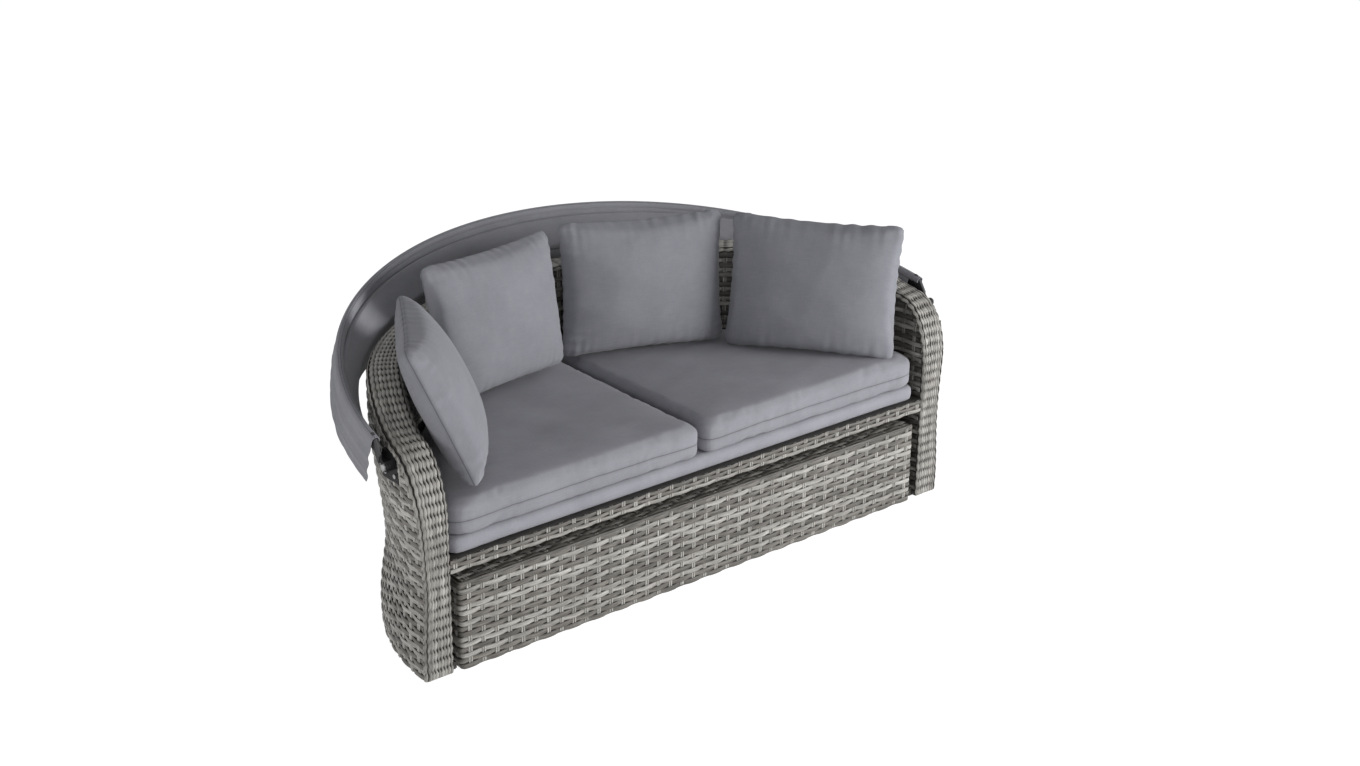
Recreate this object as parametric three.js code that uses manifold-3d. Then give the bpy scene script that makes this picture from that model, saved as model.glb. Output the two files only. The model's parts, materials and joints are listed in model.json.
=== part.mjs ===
import * as THREE from 'three';
import Module from 'manifold-3d';
import { mergeVertices } from 'three/addons/utils/BufferGeometryUtils.js';

// Outdoor daybed: a half-oval woven sofa with a pull-out footstool and a folding canopy.
// Millimetres, +Z up, seat facing -Y. Shapes are written from the front plane of the arms backwards,
// and the whole group is then moved so that its origin is the middle of its footprint on the floor.

// Woven body
const bodyHalfWidth = 893;
const bodyDepth = 770;
const armThickness = 76;
const backThickness = 64;
const armHeight = 602;
const rimHeight = 692;
const noseDepth = 110;
const noseStart = 420;
const riseStart = 70;
const riseEnd = 380;
const skin = 5;
const rimRadius = 18;
const footHeight = 60;
const footSwell = 2;
const waistHeight = 250;
const waistDepth = 18;
const flareHeight = 600;
const flareOut = 12;
const waistBlend = 250;
const waistFrontShare = 0.35;
const armSeamAngle = THREE.MathUtils.degToRad(50);

// Fits
const gap = 0.3;
const wallFit = 0.7;
const frameFit = 1.5;
const cutOverrun = 4;

// Floor glides
const glideHeight = 6;
const glideRadius = 36;
const glideAngles = [0.075, 0.42, 0.78, 1.18];

// Steel frame
const loopTube = 25;
const seatTube = 24;
const barTube = 20;
const barShares = [-0.58, -0.2, 0.2, 0.58];

// Seat
const railBottom = 281;
const railTop = 317;
const railDepth = 42;
const railSkin = 6;
const railFront = 1;
const ringCorner = 40;
const deckCorner = 4;
const sillWidth = 16;
const sillHeight = 20;
const sillStart = 12;
const sillEnd = 320;

// Footstool
const stoolSideGap = 30;
const stoolBackGap = 36;
const stoolTop = 244;
const stoolFront = 1.5;
const stoolCorner = 10;
const stoolWall = 6;
const stoolLid = 9;
const stoolLidRound = 5;
const stoolGlide = 8;
const stoolGlideRadius = 14;
const stoolTube = 20;
const stoolRingCorner = 30;
const stoolLegAngles = [0.78, Math.PI / 2, Math.PI - 0.78];
const stoolFrontLegShare = 0.8132;

// Soft goods
const padTop = 360;
const padFront = 4;
const padCorner = 40;
const padRound = 12;
const cushionTop = 442;
const cushionCrown = 12;
const cushionFront = 2;
const cushionCorner = 46;
const cushionRound = 17;
const seamPinch = 3;
const sideDraw = 5;
const crownShares = [1, 0.85, 0.6, 0.3];
const softFit = 6;
const cushionParting = 3;
const pillowWidth = 496;
const pillowHeight = 394;
const pillowFront = 84;
const pillowBack = 40;
const pillowDraw = 14;

// Canopy
const hingeBack = 90;
const hingeDrop = 37;
const hingeHeight = armHeight - hingeDrop;
const restTilt = THREE.MathUtils.degToRad(13);
const ribCount = 4;
const ribTube = 8;
const ribFlat = 2.2;
const ribSideStand = 14.5;
const ribBackStand = 55;
const ribSpan = bodyHalfWidth + ribSideStand;
const ribSpanStep = 6.5;
const ribReach = bodyDepth - hingeBack + ribBackStand;
const ribReachStep = 38.5;
const ribRise = -10;
const ribRiseStep = 17;
const crankStart = 12;
const crankEnd = 70;
const roundEnd = 130;
const eyeRadius = 12;
const eyeThickness = 5.9;
const boltRadius = 5;
const boltHead = 9;
const boltHeadHeight = 5.5;
const boltClearance = 0.4;
const bracketStand = 8;
const bracketFace = bodyHalfWidth + bracketStand;
const bracketFront = hingeBack - 14;
const bracketRear = hingeBack + 56;
const bracketLow = hingeHeight - 49;
const bracketHigh = hingeHeight + 23;
const bossRadius = 10;
const screwRadius = 3;
const screwHead = 6;
const screwHeadHeight = 3;
const screwDrop = 32;
const screwApart = 40;
const cloth = 3;
const panelCloth = 2.5;
const panelSag = 3;
const panelSweep = 80;
const bandSweep = 86.4;
const endSweeps = [82.5, 85, bandSweep, 87.8, 89.2, 90];
const bandDrop = 114;
const bandFlare = 3;
const bandLap = 140;
const slackSweep = THREE.MathUtils.degToRad(68);
const slackShort = 20;
const slackLong = 140;
const slackNarrow = 20;
const slackWide = 66;
const slackInside = 6;
const slackLobeShare = 0.82;

// Finishes
const finish = (color, roughness, metalness) =>
  new THREE.MeshStandardMaterial({ color, roughness, metalness });
const wovenGrey = () => finish(0x8a8378, 0.62, 0);
const steelGrey = () => finish(0x3a3b3d, 0.5, 0.6);
const blackPaint = () => finish(0x17181a, 0.38, 0.5);
const brightSteel = () => finish(0xb9bcc0, 0.25, 1);
const blackPlastic = () => finish(0x1d1e20, 0.55, 0);
const cushionCloth = () => finish(0x75757c, 0.9, 0);
const canopyCloth = () => finish(0x5f5f66, 0.9, 0);

const daybed = new THREE.Group();

function add(name, geometry, material) {
  const piece = new THREE.Mesh(geometry, material);
  piece.name = name;
  daybed.add(piece);
}

// Small tools
const point = (x, y, z) => new THREE.Vector3(x, y, z);
const flat = (x, y) => new THREE.Vector2(x, y);
const stepNumbers = (count) => [...Array(count + 1).keys()];
const steps = (from, to, count) => stepNumbers(count).map((i) => from + (to - from) * i / count);
const smooth = (t) => THREE.MathUtils.smoothstep(t, 0, 1);
const turnedFaces = (faces) => faces.map((_, i) => faces[i - (i % 3) + 2 - (i % 3)]);

// Faces are turned outwards by the sign of the enclosed volume
function solidFrom(points, faces) {
  let volume = 0;
  for (let i = 0; i < faces.length; i += 3) {
    const [a, b, c] = [0, 1, 2].map((k) => points[faces[i + k]]);
    volume += a.dot(b.clone().cross(c));
  }
  const geometry = new THREE.BufferGeometry();
  geometry.setAttribute('position', new THREE.Float32BufferAttribute(points.flatMap((p) => p.toArray()), 3));
  geometry.setIndex(volume > 0 ? faces : turnedFaces(faces));
  return geometry;
}

// A solid from rings of points. Its ends close as a fan, or as a ladder between the two halves of a ring,
// or the last ring joins the first.
function loft(rings, ends = 'fan') {
  const count = rings[0].length;
  const points = rings.flat();
  const faces = [];
  const joined = ends === 'loop' ? rings.length : rings.length - 1;
  for (let r = 0; r < joined; r++) {
    const low = r * count;
    const high = ((r + 1) % rings.length) * count;
    for (let i = 0; i < count; i++) {
      const next = (i + 1) % count;
      faces.push(low + i, low + next, high + next, low + i, high + next, high + i);
    }
  }
  const cap = (start) => {
    if (ends === 'ladder') {
      return steps(0, count / 2 - 2, count / 2 - 2).flatMap((i) => {
        const [a, b, c, d] = [i, i + 1, count - 2 - i, count - 1 - i].map((k) => start + k);
        return [[b, a, d], [b, d, c]];
      });
    }
    const centre = points.slice(start, start + count).reduce((sum, p) => sum.add(p), point(0, 0, 0));
    points.push(centre.divideScalar(count));
    const middle = points.length - 1;
    return rings[0].map((_, i) => [start + (i + 1) % count, start + i, middle]);
  };
  if (ends !== 'loop') {
    faces.push(...cap(0).flat());
    faces.push(...turnedFaces(cap((rings.length - 1) * count).flat()));
  }
  return solidFrom(points, faces);
}

function mirrored(geometry) {
  const copy = geometry.clone();
  copy.scale(-1, 1, 1);
  copy.setIndex(turnedFaces(Array.from(copy.index.array)));
  return copy;
}

// Joins and cuts
const manifold = await Module();
manifold.setup();

function toSolid(source) {
  const bare = source.clone();
  bare.deleteAttribute('normal');
  bare.deleteAttribute('uv');
  const merged = mergeVertices(bare);
  return new manifold.Manifold(new manifold.Mesh({
    numProp: 3,
    vertProperties: Float32Array.from(merged.attributes.position.array),
    triVerts: Uint32Array.from(merged.index.array),
  }));
}

function toGeometry(solid) {
  const { vertProperties, triVerts } = solid.getMesh();
  const geometry = new THREE.BufferGeometry();
  geometry.setAttribute('position', new THREE.BufferAttribute(Float32Array.from(vertProperties), 3));
  geometry.setIndex(new THREE.BufferAttribute(Uint32Array.from(triVerts), 1));
  return geometry;
}

function cut(body, ...tools) {
  return toGeometry(tools.reduce((left, tool) => left.subtract(toSolid(tool)), toSolid(body)));
}

function join(body, ...others) {
  return toGeometry(others.reduce((whole, next) => whole.add(toSolid(next)), toSolid(body)));
}

// Simple bodies
function disc(radius, height, x, y, bottom, sides = 20) {
  const geometry = new THREE.CylinderGeometry(radius, radius, height, sides);
  geometry.rotateX(Math.PI / 2);
  geometry.translate(x, y, bottom + height / 2);
  return geometry;
}

function crossDisc(radius, fromX, toX, y, z, sides = 16) {
  const geometry = new THREE.CylinderGeometry(radius, radius, Math.abs(toX - fromX), sides);
  geometry.rotateZ(Math.PI / 2);
  geometry.translate((fromX + toX) / 2, y, z);
  return geometry;
}

function block(fromX, toX, fromY, toY, fromZ, toZ) {
  const geometry = new THREE.BoxGeometry(toX - fromX, toY - fromY, toZ - fromZ);
  geometry.translate((fromX + toX) / 2, (fromY + toY) / 2, (fromZ + toZ) / 2);
  return geometry;
}

// Plan and side outline of the woven wall. The angle runs from the left arm's front, 0, round the back
// to the right arm's front, pi.
const innerHalfWidth = bodyHalfWidth - armThickness;
const innerDepth = bodyDepth - backThickness;
const shellBottom = glideHeight + gap;

function wallBow(y, z) {
  const waistShare = waistFrontShare + (1 - waistFrontShare) * smooth(y / waistBlend);
  const waist = waistDepth * waistShare;
  const foot = footSwell * smooth(z / footHeight);
  const draw = (waist + footSwell) * smooth((z - footHeight) / (waistHeight - footHeight));
  const flare = (waist + flareOut) * smooth((z - waistHeight) / (flareHeight - waistHeight));
  return foot - draw + flare;
}

function outerWall(angle, z, inset = 0) {
  const bow = wallBow(bodyDepth * Math.sin(angle), z) - inset;
  return point(-(bodyHalfWidth + bow) * Math.cos(angle), (bodyDepth + bow) * Math.sin(angle), z);
}

function innerWall(angle, z, inset = 0) {
  return point(-(innerHalfWidth + inset) * Math.cos(angle), (innerDepth + inset) * Math.sin(angle), z);
}

// Upright front, rounded nose, rise to the level rim
function topHeight(y) {
  const short = 1 - THREE.MathUtils.clamp(y / noseDepth, 0, 1);
  const nose = noseStart + (armHeight - noseStart) * Math.sqrt(1 - short * short);
  return nose + (rimHeight - armHeight) * smooth((y - riseStart) / (riseEnd - riseStart));
}

const wallLevelShares = [0, 0.14, 0.36, 0.56, 0.78, 1];
const cornerTurns = steps(0, Math.PI / 2, 2).slice(1);

// One ring across the wall: up the outside, over the rim and down the inside
function wallRing(angle, bottom, top, inset) {
  const radius = rimRadius - inset;
  const shoulder = top - radius;
  const across = (z, share) => outerWall(angle, z, inset).lerp(innerWall(angle, z, inset), share);
  const width = across(shoulder, 0).distanceTo(across(shoulder, 1));
  const levels = wallLevelShares.map((share) => bottom + (shoulder - bottom) * share);
  const outside = levels.map((z) => across(z, 0));
  const inside = levels.map((z) => across(z, 1));
  for (const turn of cornerTurns) {
    const share = radius / width * (1 - Math.cos(turn));
    const z = shoulder + radius * Math.sin(turn);
    outside.push(across(z, share));
    inside.push(across(z, 1 - share));
  }
  return [...outside, ...inside.reverse()];
}

const noseShares = [0, 0.03, 0.11, 0.24, 0.42, 0.66, 1];
const depthAt = (angle) => bodyDepth * Math.sin(angle);

function armShell() {
  const noseAngles = noseShares.map((share) => Math.asin(noseDepth * share / bodyDepth));
  const angles = [...noseAngles, ...steps(noseAngles.at(-1), armSeamAngle - gap / bodyDepth, 13).slice(1)];
  const roof = (angle) => topHeight(depthAt(angle));
  const full = angles.map((angle) => wallRing(angle, shellBottom, roof(angle), 0));
  const hollow = angles.map((angle) =>
    wallRing(angle + skin / bodyDepth, shellBottom - cutOverrun, roof(angle) - skin, skin));
  return cut(loft(full, 'ladder'), loft(hollow, 'ladder'));
}

function backShell() {
  const start = armSeamAngle + gap / bodyDepth;
  const past = cutOverrun / bodyDepth;
  const ring = (angle, bottom, inset) => wallRing(angle, bottom, topHeight(depthAt(angle)) - inset, inset);
  const full = loft(steps(start, Math.PI - start, 26).map((angle) => ring(angle, shellBottom, 0)), 'ladder');
  const hollow = loft(steps(start - past, Math.PI - start + past, 26)
    .map((angle) => ring(angle, shellBottom - cutOverrun, skin)), 'ladder');
  return cut(full, hollow);
}

const armWeave = armShell();
add('left_arm_weave', armWeave, wovenGrey());
add('right_arm_weave', mirrored(armWeave), wovenGrey());
add('back_weave', backShell(), wovenGrey());

// Square tube round a closed path; each place gives the tube's middle and its sideways direction
function tubeLoop(path, size) {
  const rings = path.map(({ at, side }, i) => {
    const into = at.clone().sub(path[(i + path.length - 1) % path.length].at).normalize();
    const out = path[(i + 1) % path.length].at.clone().sub(at).normalize();
    const along = into.clone().add(out).normalize();
    const widen = 1 / Math.max(along.dot(into), 0.5);
    const rise = along.clone().cross(side).normalize().multiplyScalar(size / 2 * widen);
    const wide = side.clone().multiplyScalar(size / 2);
    return [[-1, -1], [1, -1], [1, 1], [-1, 1]]
      .map(([u, v]) => at.clone().addScaledVector(wide, u).addScaledVector(rise, v));
  });
  return loft(rings, 'loop');
}

// Frame loop against the inner skin of the wall, from one angle to another
function wallLoop(from, to, count) {
  const place = (angle, z) => {
    const at = innerWall(angle, z, skin + frameFit + loopTube / 2);
    return { at, side: innerWall(angle, z).sub(at).normalize() };
  };
  const roof = (angle) => topHeight(depthAt(angle) - skin - loopTube) - rimRadius - loopTube / 2;
  const along = steps(from, to, count);
  const under = [...along].reverse();
  const low = shellBottom + loopTube / 2;
  return tubeLoop([
    ...along.map((angle) => place(angle, roof(angle))),
    ...under.map((angle) => place(angle, low)),
  ], loopTube);
}

const loopStart = (skin + loopTube) / bodyDepth;
const armLoop = wallLoop(loopStart, armSeamAngle - loopStart, 8);
add('left_arm_frame', armLoop, steelGrey());
add('right_arm_frame', mirrored(armLoop), steelGrey());
add('back_frame', wallLoop(armSeamAngle + loopStart, Math.PI - armSeamAngle - loopStart, 16), steelGrey());

// Floor glides under the wall
glideAngles.forEach((angle, i) => {
  const spot = outerWall(angle, 0).lerp(innerWall(angle, 0), 0.5);
  add(`left_glide_${i + 1}`, disc(glideRadius, glideHeight, spot.x, spot.y, 0), blackPlastic());
  add(`right_glide_${i + 1}`, disc(glideRadius, glideHeight, -spot.x, spot.y, 0), blackPlastic());
});

// Moves each point of a closed outline sideways, inwards for a positive distance
function insetOutline(outline, distance) {
  const count = outline.length;
  const turning = THREE.ShapeUtils.area(outline) > 0 ? 1 : -1;
  return outline.map((at, i) => {
    const into = at.clone().sub(outline[(i + count - 1) % count]).normalize();
    const out = outline[(i + 1) % count].clone().sub(at).normalize();
    const along = into.clone().add(out).normalize();
    const reach = distance * turning / Math.max(along.dot(into), 0.5);
    return flat(at.x - along.y * reach, at.y + along.x * reach);
  });
}

const level = (outline, z) => outline.map((at) => point(at.x, at.y, z));

const bend = (from, corner, to) => new THREE.QuadraticBezierCurve(from, corner, to).getPoints(3);

function between(from, to, count) {
  return steps(0, 1, count).slice(1, -1).map((share) => from.clone().lerp(to, share));
}

// Half-oval outline, straight at the front, with rounded front corners
function halfOval(halfWidth, depth, front, corner, count) {
  const cornerX = halfWidth * Math.sqrt(1 - (front / depth) ** 2);
  const turn = Math.asin((front + corner) / depth);
  const side = flat(halfWidth * Math.cos(turn), front + corner);
  const rightBend = bend(flat(cornerX - corner, front), flat(cornerX, front), side);
  const leftBend = rightBend.map((at) => flat(-at.x, at.y)).reverse();
  const arc = steps(turn, Math.PI - turn, count).slice(1, -1)
    .map((angle) => flat(halfWidth * Math.cos(angle), depth * Math.sin(angle)));
  return [...rightBend, ...arc, ...leftBend, ...between(leftBend.at(-1), rightBend[0], 6)];
}

function flatLoop(outline, bottom, width, height) {
  const outside = insetOutline(outline, -width / 2);
  const inside = insetOutline(outline, width / 2);
  return loft(outline.map((_, i) => [
    point(outside[i].x, outside[i].y, bottom),
    point(inside[i].x, inside[i].y, bottom),
    point(inside[i].x, inside[i].y, bottom + height),
    point(outside[i].x, outside[i].y, bottom + height),
  ]), 'loop');
}

// Seat ring against the inside of the walls, its front bar inside the woven front rail
const ringBottom = (railBottom + railTop - seatTube) / 2;
const ringHalfWidth = innerHalfWidth - wallFit - seatTube / 2;
const ringDepth = innerDepth - wallFit - seatTube / 2;
const ringFront = railFront + railSkin + gap + seatTube / 2;
const ringOutline = halfOval(ringHalfWidth, ringDepth, ringFront, ringCorner, 28);
add('seat_ring', flatLoop(ringOutline, ringBottom, seatTube, seatTube), steelGrey());

const railEnd = innerHalfWidth * Math.sqrt(1 - (railDepth / innerDepth) ** 2) - gap;
add('front_rail_weave', cut(
  block(-railEnd, railEnd, railFront, railDepth, railBottom, railTop),
  block(-bodyHalfWidth, bodyHalfWidth, railFront + railSkin, railDepth + cutOverrun,
    ringBottom - gap, ringBottom + seatTube + gap),
), wovenGrey());

const barStart = ringFront + seatTube / 2 + gap;
const barTop = ringBottom + seatTube;
barShares.forEach((share, i) => {
  const x = ringHalfWidth * share;
  const reach = (edge) => {
    const [a, b] = [ringHalfWidth, ringDepth].map((size) => size - seatTube / 2 - frameFit);
    return b * Math.sqrt(1 - (edge / a) ** 2);
  };
  const [from, to] = [x - barTube / 2, x + barTube / 2];
  const barEnd = reach(Math.abs(x) + barTube / 2);
  add(`seat_bar_${i + 1}`, block(from, to, barStart, barEnd, barTop - barTube, barTop), steelGrey());
});

const deckOutline = halfOval(innerHalfWidth - wallFit, innerDepth - wallFit, railDepth + gap, deckCorner, 28);
add('seat_deck', loft([level(deckOutline, barTop + gap), level(deckOutline, railTop)]), wovenGrey());

// Sill at the floor inside each arm
const sillAngles = [sillStart, sillEnd].map((y) => Math.asin(y / innerDepth));
const sill = loft(steps(...sillAngles, 8).map((angle) => [
  innerWall(angle, shellBottom, -wallFit),
  innerWall(angle, shellBottom, -wallFit - sillWidth),
  innerWall(angle, shellBottom + sillHeight, -wallFit - sillWidth),
  innerWall(angle, shellBottom + sillHeight, -wallFit),
]));
add('left_floor_sill', sill, wovenGrey());
add('right_floor_sill', mirrored(sill), wovenGrey());

// Footstool: woven wall and lid over a ring and legs, on its own glides
const stoolHalfWidth = innerHalfWidth - stoolSideGap;
const stoolDepth = innerDepth - stoolBackGap;
const stoolOutline = halfOval(stoolHalfWidth, stoolDepth, stoolFront, stoolCorner, 30);
const stoolBottom = stoolGlide + gap;
const lidBottom = stoolTop - stoolLid;
const stoolWallLine = insetOutline(stoolOutline, stoolWall / 2);
const stoolWallHeight = lidBottom - gap - stoolBottom;
add('footstool_weave', flatLoop(stoolWallLine, stoolBottom, stoolWall, stoolWallHeight), wovenGrey());

const lidEase = stoolLidRound * (1 - Math.SQRT1_2);
add('footstool_lid', loft([
  level(stoolOutline, lidBottom),
  level(stoolOutline, stoolTop - stoolLidRound),
  level(insetOutline(stoolOutline, lidEase), stoolTop - lidEase),
  level(insetOutline(stoolOutline, stoolLidRound), stoolTop),
]), wovenGrey());

const stoolRingInset = stoolWall + frameFit + stoolTube / 2;
const stoolRingBottom = lidBottom - gap - stoolTube;
const stoolRingLine = halfOval(stoolHalfWidth - stoolRingInset, stoolDepth - stoolRingInset,
  stoolFront + stoolRingInset, stoolRingCorner, 30);
add('footstool_frame', flatLoop(stoolRingLine, stoolRingBottom, stoolTube, stoolTube), steelGrey());

const stoolLegSpots = [
  ...[-1, 1].map((side) => [side * stoolHalfWidth * stoolFrontLegShare, stoolFront + stoolRingInset]),
  ...stoolLegAngles.map((angle) => [
    -(stoolHalfWidth - stoolRingInset) * Math.cos(angle),
    (stoolDepth - stoolRingInset) * Math.sin(angle),
  ]),
];
const legRadius = stoolTube / 2 - gap;
const legHeight = stoolRingBottom - gap - stoolBottom;
stoolLegSpots.forEach(([x, y], i) => {
  add(`footstool_leg_${i + 1}`, disc(legRadius, legHeight, x, y, stoolBottom, 10), steelGrey());
  add(`footstool_glide_${i + 1}`, disc(stoolGlideRadius, stoolGlide, x, y, 0, 12), blackPlastic());
});

// Cushions: rounded edges, a pinched seam round the sides, sides drawn in, a crowned top
function drawnIn(outline, depth) {
  const box = new THREE.Box2().setFromPoints(outline);
  const centre = box.getCenter(new THREE.Vector2());
  const reach = box.getSize(new THREE.Vector2()).divideScalar(2);
  return outline.map((at) => {
    const [u, v] = [(at.x - centre.x) / reach.x, (at.y - centre.y) / reach.y];
    return flat(at.x - depth * u * (1 - v * v), at.y - depth * v * (1 - u * u));
  });
}

function cushion(outline, bottom, top, round, crown) {
  const body = drawnIn(outline, sideDraw);
  const seam = (bottom + top) / 2;
  const ring = (distance, z) => level(insetOutline(body, distance), z);
  const crownRing = (scale) => {
    const edge = insetOutline(body, round);
    const centre = edge.reduce((sum, at) => sum.add(at), flat(0, 0)).divideScalar(edge.length);
    return level(edge.map((at) => centre.clone().lerp(at, scale)), top + crown * (1 - scale ** 4));
  };
  const [near, far] = [1 - Math.cos(Math.PI / 4), Math.sin(Math.PI / 4)].map((share) => share * round);
  return loft([
    ring(round, bottom),
    ring(near, bottom + round - far),
    ring(0, bottom + round),
    ring(0, seam - seamPinch),
    ring(seamPinch, seam),
    ring(0, seam + seamPinch),
    ring(0, top - round),
    ring(near, top - round + far),
    ...(crown > 0 ? crownShares : [1]).map(crownRing),
  ]);
}

const padOutline = halfOval(innerHalfWidth - softFit, innerDepth - softFit, padFront, padCorner, 30);
add('lower_pad', cushion(padOutline, railTop + gap, padTop, padRound, 0), cushionCloth());

function halfCushionOutline() {
  const [a, b] = [innerHalfWidth - softFit, innerDepth - softFit];
  const edge = cushionParting / 2;
  const cornerX = a * Math.sqrt(1 - (cushionFront / b) ** 2);
  const turn = Math.asin((cushionFront + cushionCorner) / b);
  const end = Math.acos((edge + cushionCorner) / a);
  const arc = steps(turn, end, 14).map((angle) => flat(a * Math.cos(angle), b * Math.sin(angle)));
  const outer = bend(flat(cornerX - cushionCorner, cushionFront), flat(cornerX, cushionFront), arc[0]);
  const rear = bend(arc.at(-1), flat(edge, b), flat(edge, b - cushionCorner));
  const front = bend(flat(edge, cushionFront + cushionCorner), flat(edge, cushionFront),
    flat(edge + cushionCorner, cushionFront));
  return [...outer, ...arc.slice(1, -1), ...rear, ...between(rear.at(-1), front[0], 5), ...front,
    ...between(front.at(-1), outer[0], 5)];
}

const seatCushion = cushion(halfCushionOutline(), padTop + gap, cushionTop, cushionRound, cushionCrown);
add('seat_cushion_right', seatCushion, cushionCloth());
add('seat_cushion_left', mirrored(seatCushion), cushionCloth());

// Scatter pillow: knife edge all round, edges drawn in between the corners, fuller in front than behind
function pillow() {
  const [columns, rows] = [12, 10];
  const points = [];
  const numbers = new Map();
  const number = (i, j, side) => {
    const rim = i === 0 || j === 0 || i === columns || j === rows;
    const key = `${i} ${j} ${rim ? 0 : side}`;
    if (!numbers.has(key)) {
      const [u, v] = [2 * i / columns - 1, 2 * j / rows - 1].map((t) => Math.sin(t * Math.PI / 2));
      const full = rim ? 0 : ((1 - Math.abs(u) ** 2.4) * (1 - Math.abs(v) ** 2.4)) ** 0.62;
      numbers.set(key, points.length);
      points.push(point(
        u * (pillowWidth / 2 - pillowDraw * (1 - v * v)),
        full * (side > 0 ? pillowBack : -pillowFront),
        pillowHeight / 2 + v * (pillowHeight / 2 - pillowDraw * (1 - u * u)),
      ));
    }
    return numbers.get(key);
  };
  const faces = [];
  for (const side of [-1, 1]) {
    for (let i = 0; i < columns; i++) {
      for (let j = 0; j < rows; j++) {
        const corners = [[i, j], [i + 1, j], [i + 1, j + 1], [i, j + 1]];
        const [a, b, c, d] = corners.map(([p, q]) => number(p, q, side));
        const sheet = [a, b, c, a, c, d];
        faces.push(...(side < 0 ? sheet : turnedFaces(sheet)));
      }
    }
  }
  return solidFrom(points, faces);
}

// Where the middle of each pillow's lower edge stands: the angle round the wall, its distance in front of the
// wall and its height over the cushions; then which way it faces, how far it leans back and how it rolls
const pillowPlaces = [
  { name: 'pillow_left_arm', angle: 23.576, away: 163.45, lift: 20.5, facing: 60.5, lean: 24, roll: -2.9 },
  { name: 'pillow_left_back', angle: 68.17, away: 107.05, lift: 8.4, facing: 12.7, lean: 10.2, roll: -1.9 },
  { name: 'pillow_right_back', angle: 108.29, away: 144.64, lift: 12.1, facing: -18.9, lean: 6, roll: -0.7 },
  { name: 'pillow_right_arm', angle: 154.796, away: 187.03, lift: 7.9, facing: -49.9, lean: 10, roll: -1.5 },
];
for (const { name, angle, away, lift, facing, lean, roll } of pillowPlaces) {
  const at = innerWall(THREE.MathUtils.degToRad(angle), cushionTop + lift, -away);
  const geometry = pillow();
  geometry.rotateY(THREE.MathUtils.degToRad(-roll));
  geometry.rotateX(THREE.MathUtils.degToRad(-lean));
  geometry.rotateZ(THREE.MathUtils.degToRad(facing));
  geometry.translate(at.x, at.y, at.z);
  add(name, geometry, cushionCloth());
}

// Canopy. Its curves are written in the plane of the folded ribs: sweep 0 at the middle of the back and a
// quarter turn at each hinge, out square to the rib, and up square to the plane.
const ribs = Array.from({ length: ribCount }, (_, i) => ({
  span: ribSpan + ribSpanStep * i,
  reach: ribReach + ribReachStep * i,
  rise: ribRise + ribRiseStep * i,
}));

function fromPlane(u, v, rise) {
  return point(u,
    hingeBack + v * Math.cos(restTilt) - rise * Math.sin(restTilt),
    hingeHeight + v * Math.sin(restTilt) + rise * Math.cos(restTilt));
}

function ribPoint({ span, reach, rise }, sweep, out, up) {
  const normal = flat(Math.sin(sweep) / span, Math.cos(sweep) / reach).normalize();
  const at = flat(span * Math.sin(sweep), reach * Math.cos(sweep)).addScaledVector(normal, out);
  return fromPlane(at.x, at.y, rise + up);
}

const panelSweeps = steps(-panelSweep, panelSweep, 20);
const ribSweeps = [...endSweeps.map((turn) => -turn).reverse(), ...panelSweeps, ...endSweeps];
const radians = (sweeps) => sweeps.map(THREE.MathUtils.degToRad);

function canopyRib(rib) {
  const rings = radians(ribSweeps).map((sweep) => {
    const back = rib.reach * Math.cos(sweep);
    const lift = smooth((back - crankStart) / (crankEnd - crankStart));
    const wide = ribFlat + (ribTube - ribFlat) * smooth((back - crankEnd) / (roundEnd - crankEnd));
    return steps(0, 2 * Math.PI, 8).slice(1).map((turn) => ribPoint(rib, sweep,
      wide * Math.cos(turn), rib.rise * (lift - 1) + ribTube * Math.sin(turn)));
  });
  const eye = (side, radius, half) =>
    crossDisc(radius, side * (rib.span - half), side * (rib.span + half), hingeBack, hingeHeight, 16);
  const bar = join(loft(rings), ...[-1, 1].map((side) => eye(side, eyeRadius, eyeThickness / 2)));
  return cut(bar, ...[-1, 1].map((side) => eye(side, boltRadius + boltClearance, eyeThickness)));
}

ribs.forEach((rib, i) => add(`canopy_rib_${i + 1}`, canopyRib(rib), blackPaint()));

// Cloth between two ribs, from the top of one to the inside of the next
const clothStand = ribTube + gap * 2 + panelCloth / 2;
for (let i = 1; i < ribCount; i++) {
  const rings = radians(panelSweeps).map((sweep) => {
    const low = ribPoint(ribs[i - 1], sweep, 0, clothStand);
    const high = ribPoint(ribs[i], sweep, -clothStand, 0);
    const along = ribPoint(ribs[i], sweep + 0.01, 0, 0).sub(ribPoint(ribs[i], sweep, 0, 0));
    const face = high.clone().sub(low).cross(along).normalize();
    const line = [low, low.clone().lerp(high, 0.5).addScaledVector(face, -panelSag), high];
    const shifted = (distance) => line.map((at) => at.clone().addScaledVector(face, distance));
    return [...shifted(panelCloth / 2), ...shifted(-panelCloth / 2).reverse()];
  });
  add(`canopy_panel_${i}`, loft(rings, 'ladder'), canopyCloth());
}

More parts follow.
